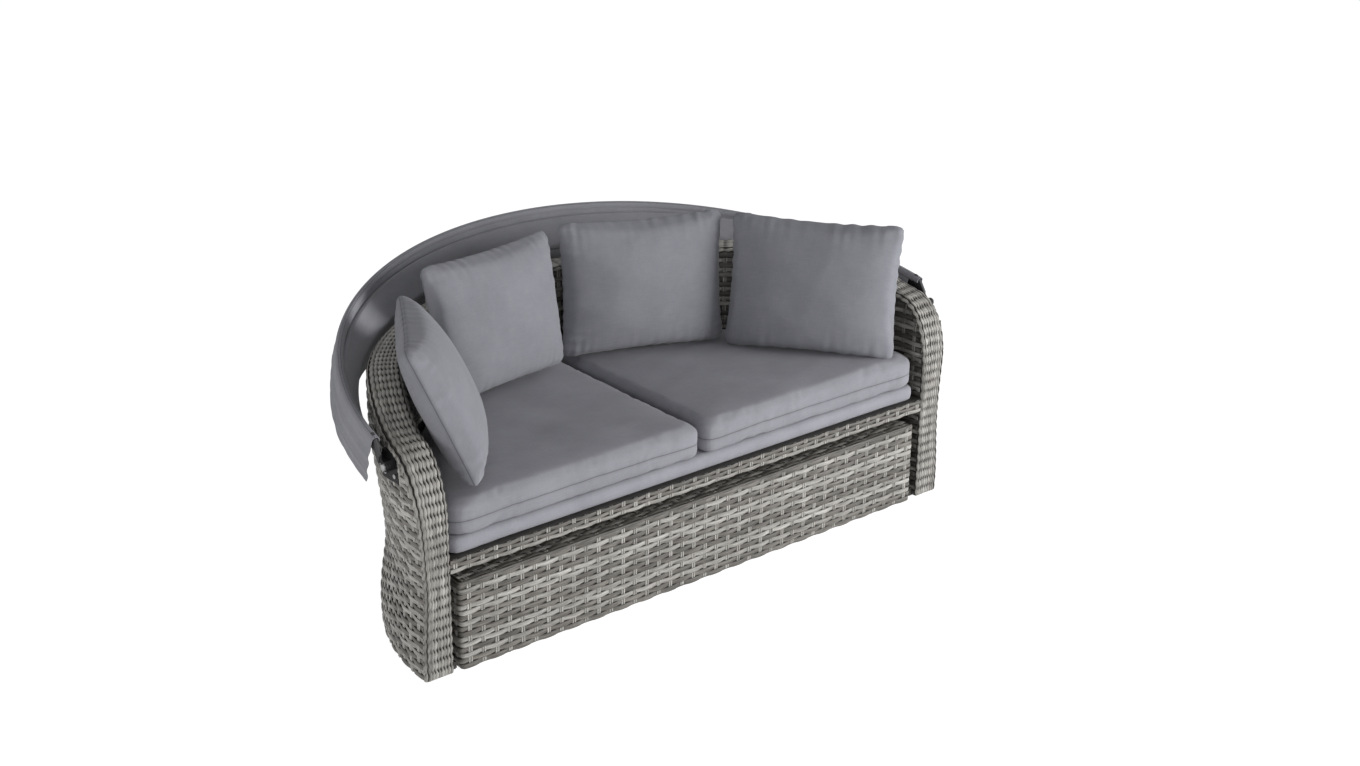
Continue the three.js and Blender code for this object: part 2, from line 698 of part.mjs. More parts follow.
// Front band over the front rib, hanging down outside the fold
const frontRib = ribs.at(-1);
const bandRound = ribTube + gap * 2 + cloth / 2;
const bandLine = [
  ...radians(steps(bandLap, 0, 4)).map((turn) => [bandRound * Math.cos(turn), bandRound * Math.sin(turn)]),
  [bandRound + bandFlare, -bandDrop / 3],
  [bandRound + bandFlare, -bandDrop * 2 / 3],
  [bandRound + bandFlare * 2 / 3, -bandDrop],
].map(([out, up]) => flat(out, up));
const bandSides = bandLine.map((at, i) => {
  const [last, next] = [bandLine[i - 1] ?? at, bandLine[i + 1] ?? at];
  const along = next.clone().sub(last).normalize();
  return flat(-along.y, along.x).multiplyScalar(cloth / 2);
});
const bandSweeps = ribSweeps.filter((turn) => Math.abs(turn) <= bandSweep);
add('canopy_front_band', loft(radians(bandSweeps).map((sweep) => {
  const shifted = (sign) => bandLine.map((at, i) => at.clone().addScaledVector(bandSides[i], sign))
    .map((at) => ribPoint(frontRib, sweep, at.x, at.y));
  return [...shifted(1), ...shifted(-1).reverse()];
}), 'ladder'), canopyCloth());

// Slack cloth folded behind the back, hanging under the rear rib in three lobes
const lobes = 6;
add('canopy_slack_fold', loft(steps(-slackSweep, slackSweep, 24).map((sweep) => {
  const middle = (Math.cos(sweep) - Math.cos(slackSweep)) / (1 - Math.cos(slackSweep));
  const width = slackNarrow + (slackWide - slackNarrow) * middle;
  const drop = slackShort + (slackLong - slackShort) * middle;
  const outs = steps(-slackInside, width - slackInside, lobes);
  const top = outs.map((out) => ribPoint(ribs[0], sweep, out, -ribTube - gap));
  const bottom = outs.map((out, i) => ribPoint(ribs[0], sweep, out,
    -ribTube - gap - drop * (i % 2 ? 1 : slackLobeShare)));
  return [...top, ...bottom.reverse()];
}), 'ladder'), canopyCloth());

// Pivot brackets on the arms' outer sides, with two screws each
const wallFace = (y, z) => {
  const angle = Math.asin(y / (bodyDepth + wallBow(y, z)));
  return -outerWall(angle, z).x + gap;
};
const screwPlaces = [-1, 1].map((side) => [(bracketFront + bracketRear) / 2 + side * screwApart / 2,
  hingeHeight - screwDrop]);
const bracketLevels = steps(bracketLow, bracketHigh, 3);
const bracketPlate = loft(steps(bracketFront, bracketRear, 4).map((y) => [
  ...bracketLevels.map((z) => point(-wallFace(y, z), y, z)),
  ...[...bracketLevels].reverse().map((z) => point(-bracketFace, y, z)),
]), 'ladder');
const eyeInner = ribSpan - eyeThickness / 2;
const boltStart = wallFace(hingeBack, hingeHeight);
const boss = crossDisc(bossRadius, -bracketFace, -(eyeInner - gap), hingeBack, hingeHeight);
const boltHole = crossDisc(boltRadius + gap, -(boltStart - cutOverrun), -(eyeInner + cutOverrun), hingeBack,
  hingeHeight);
const screwHoles = screwPlaces.map(([y, z]) =>
  crossDisc(screwRadius + gap, -(boltStart - armThickness), -(bracketFace + cutOverrun), y, z, 8));
const bracket = cut(join(bracketPlate, boss), boltHole, ...screwHoles);
add('left_canopy_bracket', bracket, blackPaint());
add('right_canopy_bracket', mirrored(bracket), blackPaint());

screwPlaces.forEach(([y, z], i) => {
  const start = wallFace(y, z);
  const face = bracketFace + gap;
  const screw = join(
    crossDisc(screwRadius, -(start + gap), -(face + screwHeadHeight / 2), y, z, 8),
    crossDisc(screwHead, -face, -(face + screwHeadHeight), y, z, 10),
  );
  add(`left_bracket_screw_${i + 1}`, screw, brightSteel());
  add(`right_bracket_screw_${i + 1}`, mirrored(screw), brightSteel());
});

// Pivot bolt through the four rib eyes
const eyeOuter = frontRib.span + eyeThickness / 2;
const bolt = join(
  crossDisc(boltRadius, -boltStart, -(eyeOuter + boltHeadHeight / 2), hingeBack, hingeHeight),
  crossDisc(boltHead, -(eyeOuter + gap), -(eyeOuter + gap + boltHeadHeight), hingeBack, hingeHeight, 6),
);
add('left_pivot_bolt', bolt, brightSteel());
add('right_pivot_bolt', mirrored(bolt), brightSteel());

// Place the footprint's middle at the origin
const rear = Math.max(...bandLine.map((at, i) => {
  const edge = at.clone().addScaledVector(bandSides[i], 1);
  return ribPoint(frontRib, 0, edge.x, edge.y).y;
}));
daybed.position.y = -rear / 2;

export default daybed;
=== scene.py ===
"""Outdoor daybed with a folding canopy: strands, cushions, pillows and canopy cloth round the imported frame.

Shapes are worked out in millimetres from the front plane of the arms, y to the back and z up, as the
frame's solids are. They are put into metres about the middle of the footprint when a mesh is made.
"""
import json
import math

import bpy
import numpy as np
from mathutils import Matrix, Vector


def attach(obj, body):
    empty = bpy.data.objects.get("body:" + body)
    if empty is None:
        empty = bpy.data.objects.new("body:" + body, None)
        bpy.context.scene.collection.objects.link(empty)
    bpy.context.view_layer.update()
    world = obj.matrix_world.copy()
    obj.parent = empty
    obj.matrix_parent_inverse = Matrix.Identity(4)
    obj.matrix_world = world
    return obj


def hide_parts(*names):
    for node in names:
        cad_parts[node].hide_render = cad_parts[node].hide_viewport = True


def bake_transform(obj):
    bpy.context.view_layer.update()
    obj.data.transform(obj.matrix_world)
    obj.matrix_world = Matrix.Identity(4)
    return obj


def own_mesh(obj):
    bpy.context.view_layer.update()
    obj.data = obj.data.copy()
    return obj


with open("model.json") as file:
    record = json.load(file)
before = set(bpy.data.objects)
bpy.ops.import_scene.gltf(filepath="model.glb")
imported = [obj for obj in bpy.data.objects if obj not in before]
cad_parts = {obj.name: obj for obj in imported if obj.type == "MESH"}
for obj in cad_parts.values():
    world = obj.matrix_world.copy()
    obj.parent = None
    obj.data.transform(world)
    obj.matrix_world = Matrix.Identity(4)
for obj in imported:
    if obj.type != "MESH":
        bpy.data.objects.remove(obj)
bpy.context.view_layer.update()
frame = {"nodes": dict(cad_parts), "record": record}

FOOTPRINT_MIDDLE = 474.191


# ---- small sums on arrays

def smooth(t):
    """3t² - 2t³, with t held between 0 and 1."""
    t = np.clip(t, 0, 1)
    return t * t * (3 - 2 * t)


def smooth_inverse(w):
    """The t at which smooth(t) is w: 1/2 - sin(asin(1 - 2w) / 3)."""
    return 0.5 - np.sin(np.arcsin(np.clip(1 - 2 * w, -1, 1)) / 3)


def unit(vectors):
    """Vectors scaled to a length of 1."""
    return vectors / np.maximum(np.linalg.norm(vectors, axis=-1, keepdims=True), 1e-9)


def in_metres(points):
    """y moved forward by half the footprint's depth, then millimetres to metres."""
    placed = np.array(points, float).reshape(-1, 3)
    placed[:, 1] -= FOOTPRINT_MIDDLE
    return placed * 0.001


def stacked(x, y, z):
    """Points from three coordinates, each a number or an array."""
    return np.stack(np.broadcast_arrays(x, y, z), -1)


def lengths_along(line):
    """How far along a line of points each of them lies."""
    return np.concatenate([[0], np.cumsum(np.linalg.norm(np.diff(line, axis=0), axis=1))])


def oval_line(turn, half_width, depth):
    """Points of a flat oval at angles from its right end towards the back."""
    return np.stack([half_width * np.cos(turn), depth * np.sin(turn)], -1)


def bend_line(a, b, c, count=9):
    """A rounded corner from a to c, drawn towards b: a (1 - t)² + 2 b t (1 - t) + c t²."""
    t = np.linspace(0, 1, count)[:, None]
    return np.array(a) * (1 - t) ** 2 + 2 * np.array(b) * t * (1 - t) + np.array(c) * t ** 2


def drift(t, seed, waves):
    """A slow irregular line along t: four sines of nearby wavelengths with fixed random phases, about -1 to 1."""
    dice = np.random.RandomState(seed)
    return sum(np.sin(t * 2 * np.pi / (waves * dice.uniform(0.7, 1.5)) + dice.uniform(0, 6.28))
               for _ in range(4)) / 2.4


# ---- meshes

def grid_faces(rows, columns, rows_close=False, columns_close=False):
    """Quads between the neighbours in a grid of points; a closed direction joins its last line to its first."""
    r = np.arange(rows if rows_close else rows - 1)[:, None]
    c = np.arange(columns if columns_close else columns - 1)[None, :]
    up, right = (r + 1) % rows, (c + 1) % columns
    return np.stack([r * columns + c, r * columns + right, up * columns + right, up * columns + c],
                    -1).reshape(-1, 4)


def new_object(name, data):
    """An object of the scene that shows a mesh, a lamp or a camera."""
    shown = bpy.data.objects.new(name, data)
    bpy.context.collection.objects.link(shown)
    return shown


def new_mesh(name, points, faces, finish):
    """A mesh from points in metres and a list of faces."""
    mesh = bpy.data.meshes.new(name)
    mesh.from_pydata(points, [], faces)
    mesh.materials.append(finish)
    return mesh


def read_all(items, field, each=1, kind=float):
    """A property of all of a mesh's points, edges, triangles or corners, as rows of numbers."""
    values = np.empty(len(items) * each, kind)
    items.foreach_get(field, values)
    return values.reshape(-1, each)


def add_map(mesh, name, values):
    """A flat map from a pair of values for each point."""
    corners = read_all(mesh.loops, "vertex_index", kind=int)[:, 0]
    mesh.uv_layers.new(name=name).data.foreach_set("uv", values.reshape(-1, 2)[corners].ravel())


def make_piece(name, points, faces, finish, body, uv=None, shade=None):
    """A mesh object from points, faces and per-point map and shade values, riding on a body of the frame."""
    mesh = new_mesh(name, in_metres(points), faces.tolist(), finish)
    if uv is not None:
        add_map(mesh, "Cloth", uv)
    if shade is not None:
        mesh.attributes.new("shade", "FLOAT", "POINT").data.foreach_set("value", shade.ravel())
    mesh.shade_smooth()
    piece = new_object(name, mesh)
    if body:
        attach(piece, body)
    return piece


RIBBON = np.array([(-0.5, -0.5), (0.5, -0.5), (0.5, -0.05), (0.3, 0.5), (-0.3, 0.5), (-0.5, -0.05)])


def make_strands(name, paths, outs, width, thick, finish, body, loops=False, seed=1, dip_shade=None):
    """Flat strands: a six-sided ribbon section, width by thick, carried along each centre line with its thin
    side along outs. paths and outs are strands by places by 3, and width may differ from place to place. Ends
    are capped, unless each path is a loop. The last argument, 0 to 1, is painted shade where the strands lie low."""
    paths, outs = np.asarray(paths, float), np.asarray(outs, float)
    count, places, _ = paths.shape
    if loops:
        along = unit(np.roll(paths, -1, 1) - np.roll(paths, 1, 1))
    else:
        along = unit(np.gradient(paths, axis=1))
    side = unit(np.cross(along, outs))
    up = np.cross(side, along)
    wide = np.broadcast_to(np.asarray(width, float), (count, places))[:, :, None, None]
    rings = (paths[:, :, None] + side[:, :, None] * RIBBON[:, 0, None] * wide
             + up[:, :, None] * RIBBON[:, 1, None] * thick)
    edges = len(RIBBON)
    one = grid_faces(places, edges, rows_close=loops, columns_close=True)
    if not loops:
        last = (places - 1) * edges
        caps = np.array([(0, 1, 2, 3), (0, 3, 4, 5)])
        one = np.vstack([one, caps, last + caps[:, ::-1]])
    faces = (one[None] + np.arange(count)[:, None, None] * places * edges).reshape(-1, 4)
    steps = np.linalg.norm(np.diff(paths, axis=1), axis=-1)
    travel = np.concatenate([np.zeros((count, 1)), np.cumsum(steps, 1)], 1) * 0.001
    dice = np.random.RandomState(seed)
    uv = np.empty((count, places, edges, 2))
    uv[..., 0] = (travel + dice.uniform(0, 50, (count, 1)))[:, :, None]
    upper = np.where(side[..., 2].mean(1) < 0, -1.0, 1.0)[:, None, None]
    uv[..., 1] = 0.5 + RIBBON[:, 0] * 0.8 * upper + np.arange(count)[:, None, None]
    shade = np.broadcast_to(dice.uniform(0, 1, (count, 1, 1)), (count, places, edges))
    # Painted shade: the strands are darker where they lie low.
    if dip_shade is not None:
        shade = shade - np.asarray(dip_shade)[:, :, None]
    return make_piece(name, rings, faces[:, ::-1], finish, body, uv, shade)


def with_edge_lines(grid):
    """The grid with a second line beside each rim, a fifteenth of the way to the next line. It keeps the bend in
    the shading at a sheet's rim narrow."""
    for _ in range(2):
        first = grid[:1] + (grid[1:2] - grid[:1]) / 15
        last = grid[-1:] + (grid[-2:-1] - grid[-1:]) / 15
        grid = np.concatenate([grid[:1], first, grid[1:-1], last, grid[-1:]]).swapaxes(0, 1)
    return grid


def make_cloth(name, grid, thick, finish, body, uv):
    """A closed sheet: the grid moved out and in by half its thickness along its normals, joined at the rims."""
    grid, uv = with_edge_lines(grid), with_edge_lines(uv)
    rows, columns, _ = grid.shape
    normal = unit(np.cross(np.gradient(grid, axis=0), np.gradient(grid, axis=1)))
    both = np.concatenate([grid + normal * thick / 2, grid - normal * thick / 2]).reshape(-1, 3)
    flat = grid_faces(rows, columns)
    under = rows * columns
    index = np.arange(under).reshape(rows, columns)
    rim = np.concatenate([index[0, :-1], index[:-1, -1], index[-1, :0:-1], index[:0:-1, 0]])
    after = np.roll(rim, -1)
    wall = np.stack([rim, rim + under, after + under, after], -1)
    faces = np.vstack([flat[:, ::-1], flat + under, wall[:, ::-1]])
    return face_outwards(make_piece(name, both, faces, finish, body, np.stack([uv, uv])))


def face_outwards(piece):
    """Turns a closed mesh's faces outwards where the volume that it encloses comes out negative."""
    mesh = piece.data
    mesh.calc_loop_triangles()
    corners = read_all(mesh.loop_triangles, "vertices", 3, int)
    a, b, c = read_all(mesh.vertices, "co", 3)[corners].transpose(1, 0, 2)
    if np.einsum("ij,ij->", a, np.cross(b, c)) < 0:
        mesh.flip_normals()
    return piece


# ---- finishes

class Signal:
    """A socket of a material's nodes. Arithmetic on it adds Math nodes, and add() any other node."""

    def __init__(self, tree, socket=None):
        self.tree, self.socket = tree, socket

    def add(self, kind, settings=(), inputs=(), output=0):
        """Adds a node: first its settings, a ramp's stops among them, then each input's value or link."""
        node = self.tree.nodes.new(kind)
        for key, value in dict(settings).items():
            if key == "stops":
                elements = node.color_ramp.elements
                for i, (position, colour) in enumerate(value):
                    element = elements[i] if i < 2 else elements.new(position)
                    element.position, element.color = position, (*colour, 1)
            else:
                setattr(node, key, value)
        for key, value in dict(inputs).items():
            if isinstance(value, Signal):
                self.tree.links.new(value.socket, node.inputs[key])
            else:
                node.inputs[key].default_value = value
        return Signal(self.tree, node.outputs[output])

    def sum(self, operation, *values):
        """A Math node on numbers and Signals."""
        return self.add("ShaderNodeMath", {"operation": operation}, dict(enumerate(values)))

    def __add__(self, other): return self.sum("ADD", self, other)
    def __radd__(self, other): return self.sum("ADD", other, self)
    def __sub__(self, other): return self.sum("SUBTRACT", self, other)
    def __rsub__(self, other): return self.sum("SUBTRACT", other, self)
    def __mul__(self, other): return self.sum("MULTIPLY", self, other)
    def __pow__(self, other): return self.sum("POWER", self, other)
    def __abs__(self): return self.sum("ABSOLUTE", self)

    def ramp(self, *stops):
        """The colour at this value between stops, each a position and a colour."""
        return self.add("ShaderNodeValToRGB", {"stops": stops}, {0: self})

    def between(self, low, high):
        """0 at low, 1 at high, in a straight line between them."""
        return self.add("ShaderNodeMapRange", {}, {0: self, 1: low, 2: high})

    def mix(self, first, second):
        """The colour first where this is 0, and the red, green and blue of second where it is 1."""
        return self.add("ShaderNodeMix", {"data_type": "RGBA"}, {0: self, 6: first, 7: (*second, 1.0)}, 2)

    def place(self):
        """The point's place on its own piece."""
        return self.add("ShaderNodeTexCoord", {}, output=3)

    def map(self, name):
        """The point's place on its piece's flat map of this name."""
        return self.add("ShaderNodeUVMap", {"uv_map": name})

    def axis(self, number):
        """One of the three numbers of coordinates."""
        return self.add("ShaderNodeSeparateXYZ", {}, {0: self}, number)

    def noise(self, scale, detail, rough):
        """Noise at these coordinates. Three scales stretch it by axis."""
        if isinstance(scale, tuple):
            stretched = self.add("ShaderNodeVectorMath", {"operation": "MULTIPLY"}, {0: self, 1: scale})
            return stretched.noise(1.0, detail, rough)
        inputs = {"Vector": self, "Scale": scale, "Detail": detail, "Roughness": rough}
        return self.add("ShaderNodeTexNoise", {}, inputs)

    def bands(self, direction, scale, distortion, more=()):
        """Sine bands across a direction of these coordinates."""
        inputs = {"Vector": self, "Scale": scale, "Distortion": distortion, **dict(more)}
        return self.add("ShaderNodeTexWave", {"bands_direction": direction}, inputs)

    def bump(self, strength, distance):
        """The normal of a relief with this height, in a unit of distance metres."""
        return self.add("ShaderNodeBump", {}, {"Strength": strength, "Distance": distance, "Height": self})


def new_finish(name):
    """An empty material, its shader and a Signal to start its nodes from."""
    material = bpy.data.materials.new(name)
    material.use_nodes = True
    return material, material.node_tree.nodes["Principled BSDF"], Signal(material.node_tree)


def connect(shader, **links):
    """Sets the shader's sockets, named with underscores for spaces, to values or Signals."""
    for key, value in links.items():
        socket = shader.inputs[key.replace("_", " ")]
        if isinstance(value, Signal):
            value.tree.links.new(value.socket, socket)
        else:
            socket.default_value = value


def strand_finish(name, dark, mid, light, edge_shade=0.8):
    """Extruded flat strand: long and fine streaks along it, a tone of its own, fine ribs, a satin skin, and
    painted shade that darkens both edges and most of all the upper one, where the rows beside it would shade it."""
    material, shader, start = new_finish(name)
    run = start.map("Cloth")
    own = start.add("ShaderNodeAttribute", {"attribute_name": "shade"}, output=2)
    down = run.axis(1)
    across = down.sum("FRACT", down)
    long_streaks = run.noise((11.0, 4.0, 1.0), 4.0, 0.65)
    fine_streaks = run.noise((34.0, 30.0, 1.0), 3.0, 0.7)
    blotches = run.noise((8.0, 0.8, 1.0), 2.0, 0.5)
    tone = (long_streaks - 0.5) * 1.1 + (fine_streaks - 0.5) * 1.2 + (blotches - 0.5) * 0.9 + own * 0.24 + 0.38
    shown = tone.ramp((0.15, dark), (0.5, mid), (0.85, light))
    # Painted shade: the strand darkens towards both edges, most of all towards the upper one.
    edge = abs(across - 0.44).between(0.18, 0.46)
    shown = (edge ** 1.4 * edge_shade).mix(shown, tuple(0.2 * c for c in dark))
    height = fine_streaks * 0.6 + run.bands("Y", 1.6, 0.3) * 0.5
    connect(shader, Base_Color=shown, Roughness=0.42 + fine_streaks * 0.25, Normal=height.bump(0.4, 0.0006))
    return material


def woven_backing(name, tone):
    """The inside of the weave: strands seen between the outer ones, in crossed bands, dark with painted shade."""
    material, shader, start = new_finish(name)
    place = start.place()
    grain = place.noise((40.0, 40.0, 260.0), 3.0, 0.6)
    level = place.bands("Z", 15.0, 1.2) * 0.5 + place.bands("X", 7.5, 0.6) * 0.2 + grain * 0.4
    shown = level.ramp((0.2, tuple(0.35 * c for c in tone)), (0.9, tone))
    connect(shader, Base_Color=shown, Roughness=0.5 + grain * 0.3, Normal=level.bump(0.6, 0.002))
    return material


def cloth_finish(name, dark, light, thread=0.0016, seamed=False, stitch=()):
    """Plain-woven outdoor cloth: crossed threads, slubs, soft mottling and sheen. seamed draws the dark sewn line
    where the map called Seam is 0, partly the seam itself and partly painted shade of its groove, with fainter
    painted shade beside it; stitch draws dashes of thread at these distances across the map."""
    material, shader, start = new_finish(name)
    run, place = start.map("Cloth"), start.place()
    threads = 0.314 / thread, 0.8, {"Detail": 1.0, "Detail Scale": 3.0}
    weave = run.bands("X", *threads) * run.bands("Y", *threads)
    slubs = run.noise((26.0, 420.0, 1.0), 3.0, 0.62)
    across = run.noise((420.0, 34.0, 1.0), 2.0, 0.6)
    mottle = place.noise(9.0, 4.0, 0.6)
    grain = place.noise(620.0, 2.0, 0.7)
    tone = slubs * 0.22 + across * 0.14 + mottle * 0.32 + grain * 0.18 + weave * 0.08 + 0.06
    shown = tone.ramp((0.36, dark), (0.66, light))
    height = weave * 0.55 + slubs * 0.35 + grain * 0.2
    if seamed:
        seam = start.map("Seam")
        off = abs(seam.axis(0))
        near = 1 - seam.axis(1).between(0.024, 0.03)
        # Painted shade: line is partly the sewn seam and partly the shade in its groove; soft is fainter shade
        # beside it.
        line = (1 - off.between(0.0005, 0.0019)) * near
        soft = (1 - off.between(0.001, 0.009)) * near
        shown = (line * 0.42 + soft * 0.14).mix(shown, (0.02, 0.02, 0.024))
        height = height - line * 1.4
    down, along = run.axis(1), run.axis(0) * 160.0
    for v in stitch:
        line = (1 - abs(down - v).between(0.0004, 0.0013)) * along.sum("LESS_THAN", along.sum("FRACT", along), 0.62)
        shown = (line * 0.7).mix(shown, (0.045, 0.045, 0.05))
        height = height - line * 1.5
    connect(shader, Base_Color=shown, Roughness=0.82 + mottle * 0.1, Normal=height.bump(0.4, 0.0005),
            Sheen_Weight=0.12, Sheen_Roughness=0.5, Specular_IOR_Level=0.25)
    return material


def hard_finish(name, fine, broad, stops, rough, relief, **more):
    """A hard skin. A fine noise is its relief. A broad one sets its colour between two stops and adds to its
    roughness. Each noise is a scale, a detail and a roughness."""
    material, shader, start = new_finish(name)
    place = start.place()
    grain, patches = place.noise(*fine), place.noise(*broad)
    connect(shader, Base_Color=patches.ramp(*stops), Roughness=rough[0] + patches * rough[1],
            Normal=grain.bump(*relief), **more)
    return material


def painted_steel(name, tone, rough):
    """Powder coat: fine orange peel, a faint mottle and duller dust in patches."""
    stops = (0.35, tone), (0.75, tuple(1.5 * c + 0.004 for c in tone))
    return hard_finish(name, (900.0, 2.0, 0.6), (14.0, 4.0, 0.6), stops, (rough, 0.16), (0.25, 0.0004),
                       Specular_IOR_Level=0.16)


def moulded_plastic(name, tone):
    """Moulded part: a matt spark-eroded grain with soft scuffs."""
    stops = (0.4, tone), (0.8, tuple(1.8 * c + 0.006 for c in tone))
    return hard_finish(name, (1400.0, 2.0, 0.7), ((60.0, 60.0, 14.0), 4.0, 0.7), stops, (0.5, 0.2), (0.3, 0.0003))


def plated_steel(name):
    """Zinc plate: bright, with turned rings and cloudy dull patches."""
    stops = (0.3, (0.24, 0.24, 0.25)), (0.7, (0.42, 0.42, 0.41))
    return hard_finish(name, ((1800.0, 300.0, 300.0), 2.0, 0.6), (120.0, 4.0, 0.6), stops, (0.24, 0.22),
                       (0.15, 0.0002), Metallic=1.0)


# Each strand finish darkens its edges with painted shade; the light strand takes a little less and the rim strand
# much less.
dark_strand = strand_finish("grey-brown strand", (0.032, 0.03, 0.025), (0.102, 0.094, 0.082), (0.235, 0.22, 0.197))
light_strand = strand_finish("light strand", (0.14, 0.133, 0.12), (0.325, 0.313, 0.288), (0.56, 0.545, 0.51),
                             edge_shade=0.7)
stake_strand = strand_finish("ribbed stake strand", (0.16, 0.153, 0.138), (0.36, 0.346, 0.318),
                             (0.60, 0.58, 0.545))
shaded_dark_strand = strand_finish("shaded grey-brown strand", (0.014, 0.013, 0.011), (0.046, 0.042, 0.037),
                                   (0.125, 0.117, 0.104))
shaded_light_strand = strand_finish("shaded light strand", (0.06, 0.057, 0.051), (0.155, 0.149, 0.136),
                                    (0.32, 0.31, 0.288))
rim_strand = strand_finish("rim strand", (0.105, 0.1, 0.09), (0.285, 0.274, 0.252), (0.53, 0.515, 0.48), edge_shade=0.3)
weave_backing = woven_backing("shaded weave backing", (0.03, 0.027, 0.023))
frame_paint = painted_steel("dark frame powder coat", (0.035, 0.036, 0.039), 0.45)
canopy_paint = painted_steel("black canopy powder coat", (0.006, 0.006, 0.007), 0.42)
glide_plastic = moulded_plastic("black glide plastic", (0.014, 0.014, 0.016))
zinc = plated_steel("zinc plated hardware")
pillow_cloth = cloth_finish("grey pillow cloth", (0.188, 0.19, 0.211), (0.268, 0.271, 0.298), seamed=True)
seat_cloth = cloth_finish("grey seat cloth", (0.212, 0.212, 0.235), (0.305, 0.305, 0.336), seamed=True)
pad_cloth = cloth_finish("grey pad cloth", (0.24, 0.24, 0.268), (0.345, 0.345, 0.38))
cover_cloth = cloth_finish("grey canopy cloth", (0.205, 0.206, 0.225), (0.295, 0.295, 0.32), thread=0.0013)
band_cloth = cloth_finish("grey canopy band cloth", (0.215, 0.216, 0.236), (0.315, 0.315, 0.342), thread=0.0013,
                          stitch=(0.026, 0.032, 0.128, 0.134))

node_finishes = {
    "weave": weave_backing, "frame_steel": frame_paint, "glide_plastic": glide_plastic,
    "cushion_cloth": cover_cloth, "canopy_steel": canopy_paint, "canopy_cloth": cover_cloth, "bright_steel": zinc,
}
for part in frame["record"]["subparts"]:
    mesh = frame["nodes"][part["node"]].data
    mesh.materials.clear()
    mesh.materials.append(node_finishes[part["material_slot"]])


# ---- the woven wall's own shape

HALF_WIDTH, DEPTH = 893.0, 770.0
INNER_HALF_WIDTH, INNER_DEPTH = 817.0, 706.0
NOSE_DEPTH, NOSE_FOOT, NOSE_RISE, RIM_RISE = 110.0, 420.0, 182.0, 90.0
SEAT_TOP = 442.0
STAKE_PITCH = 40.0
ROW_PITCH = 14.9
ROWS, FIRST_ROW = 46, 16.0
ROW_WIDTH, STAKE_WIDTH, STAKE_SIDE = 14.0, 5.6, 3.3
STRAND_THICK, STAKE_THICK, STAKE_STAND = 1.9, 1.7, 2.7
WEAVE_HEIGHT, PRESSED_STAND, STAKE_PRESS = 1.75, 0.9, 1.8
DARK_ROWS = (1, 0, 1, 1, 0, 0)
BRACKET_MIDDLE, BRACKET_HALF = np.array([111.0, 552.0]), np.array([37.0, 38.0])
TO_FRONT, TO_RIGHT, UP = np.array([0.0, -1.0, 0.0]), np.array([1.0, 0.0, 0.0]), np.array([0.0, 0.0, 1.0])


def wall_bow(y, z):
    """How far the wall stands out at a height: a small foot, a waist at 250 that is deeper behind, a flare."""
    waist = 18 * (0.35 + 0.65 * smooth(y / 250))
    return 2 * smooth(z / 60) - (waist + 2) * smooth((z - 60) / 190) + (waist + 12) * smooth((z - 250) / 350)


def outer_wall(angle, z):
    """Points of the wall's outside: a half oval from the left front round to the right one, with the bow."""
    bow = wall_bow(DEPTH * np.sin(angle), z)
    return stacked(-(HALF_WIDTH + bow) * np.cos(angle), (DEPTH + bow) * np.sin(angle), z)


def inner_wall(angle, z):
    """Points of the wall's inside: a plain half oval."""
    return stacked(-INNER_HALF_WIDTH * np.cos(angle), INNER_DEPTH * np.sin(angle), z)


def oval_normal(angle, half_width, depth):
    """Outward normals of a half oval: minus the cosine over its half width, and the sine over its depth."""
    return unit(stacked(-np.cos(angle) / half_width, np.sin(angle) / depth, 0.0))


def top_height(y):
    """Quarter-ellipse nose from 420 to 602 in the first 110, then a smooth rise of 90 to the level rim."""
    short = 1 - np.clip(y / NOSE_DEPTH, 0, 1)
    return NOSE_FOOT + NOSE_RISE * np.sqrt(1 - short * short) + RIM_RISE * smooth((y - 70) / 310)


def oval_table(half_width, depth):
    """Angles and the lengths round the half oval to each, from the left front."""
    angles = np.linspace(0, np.pi, 4001)
    return angles, lengths_along(stacked(-half_width * np.cos(angles), depth * np.sin(angles), 0.0))


def row_wave(length, row):
    """1 where a strand crosses over a stake and -1 where it goes under: brick order from row to row."""
    return np.cos(np.pi * length / STAKE_PITCH + np.pi * row)


def row_stand(length, row):
    """How far a strand's middle stands off the backing: the stakes' stand plus the signed square root of the wave
    times the weave's height, so that it clears each stake above or below."""
    wave = row_wave(length, row)
    return STAKE_STAND + WEAVE_HEIGHT * np.sign(wave) * np.abs(wave) ** 0.5


def row_width(length, row):
    """A strand lies wider on its floats than where it dives, and wanders by a hair."""
    return ROW_WIDTH + 0.5 * row_wave(length, row) + 0.4 * drift(length, 300 + row, 90)


def make_rows(name, rows, body, seed, loops=False, narrower=0.0, finishes=(light_strand, dark_strand)):
    """The strands of a woven face, the dark rows as one piece and the light rows as another. rows holds each
    strand's row number, centre line, outward normals and lengths along it."""
    for tone, shown in ((1, "dark"), (0, "light")):
        chosen = [row for row in rows if DARK_ROWS[row[0] % len(DARK_ROWS)] == tone]
        if chosen:
            lines = [line + out * row_stand(run, i)[:, None] for i, line, out, run in chosen]
            widths = [row_width(run, i) - narrower for i, _, _, run in chosen]
            make_strands(f"{name}_{shown}_strands", lines, [row[2] for row in chosen], widths, STRAND_THICK,
                         finishes[tone], body, loops, seed + tone)


def make_stakes(name, lines, outs, sides, body, seed, finish=stake_strand):
    """Pairs of ribbed stakes: each centre line moved by both sides and out onto the backing."""
    paths = np.concatenate([lines + sides * side for side in (-STAKE_SIDE, STAKE_SIDE)])
    outs = np.concatenate([outs, outs])
    make_strands(name, paths + outs * STAKE_STAND, outs, STAKE_WIDTH, STAKE_THICK, finish, body, seed=seed)


def under_bracket(points):
    """0 beneath a canopy bracket, where the weave is pressed flat, rising to 1 clear of it."""
    return smooth((np.abs(points[..., 1:] - BRACKET_MIDDLE) - BRACKET_HALF).max(-1) / 14)


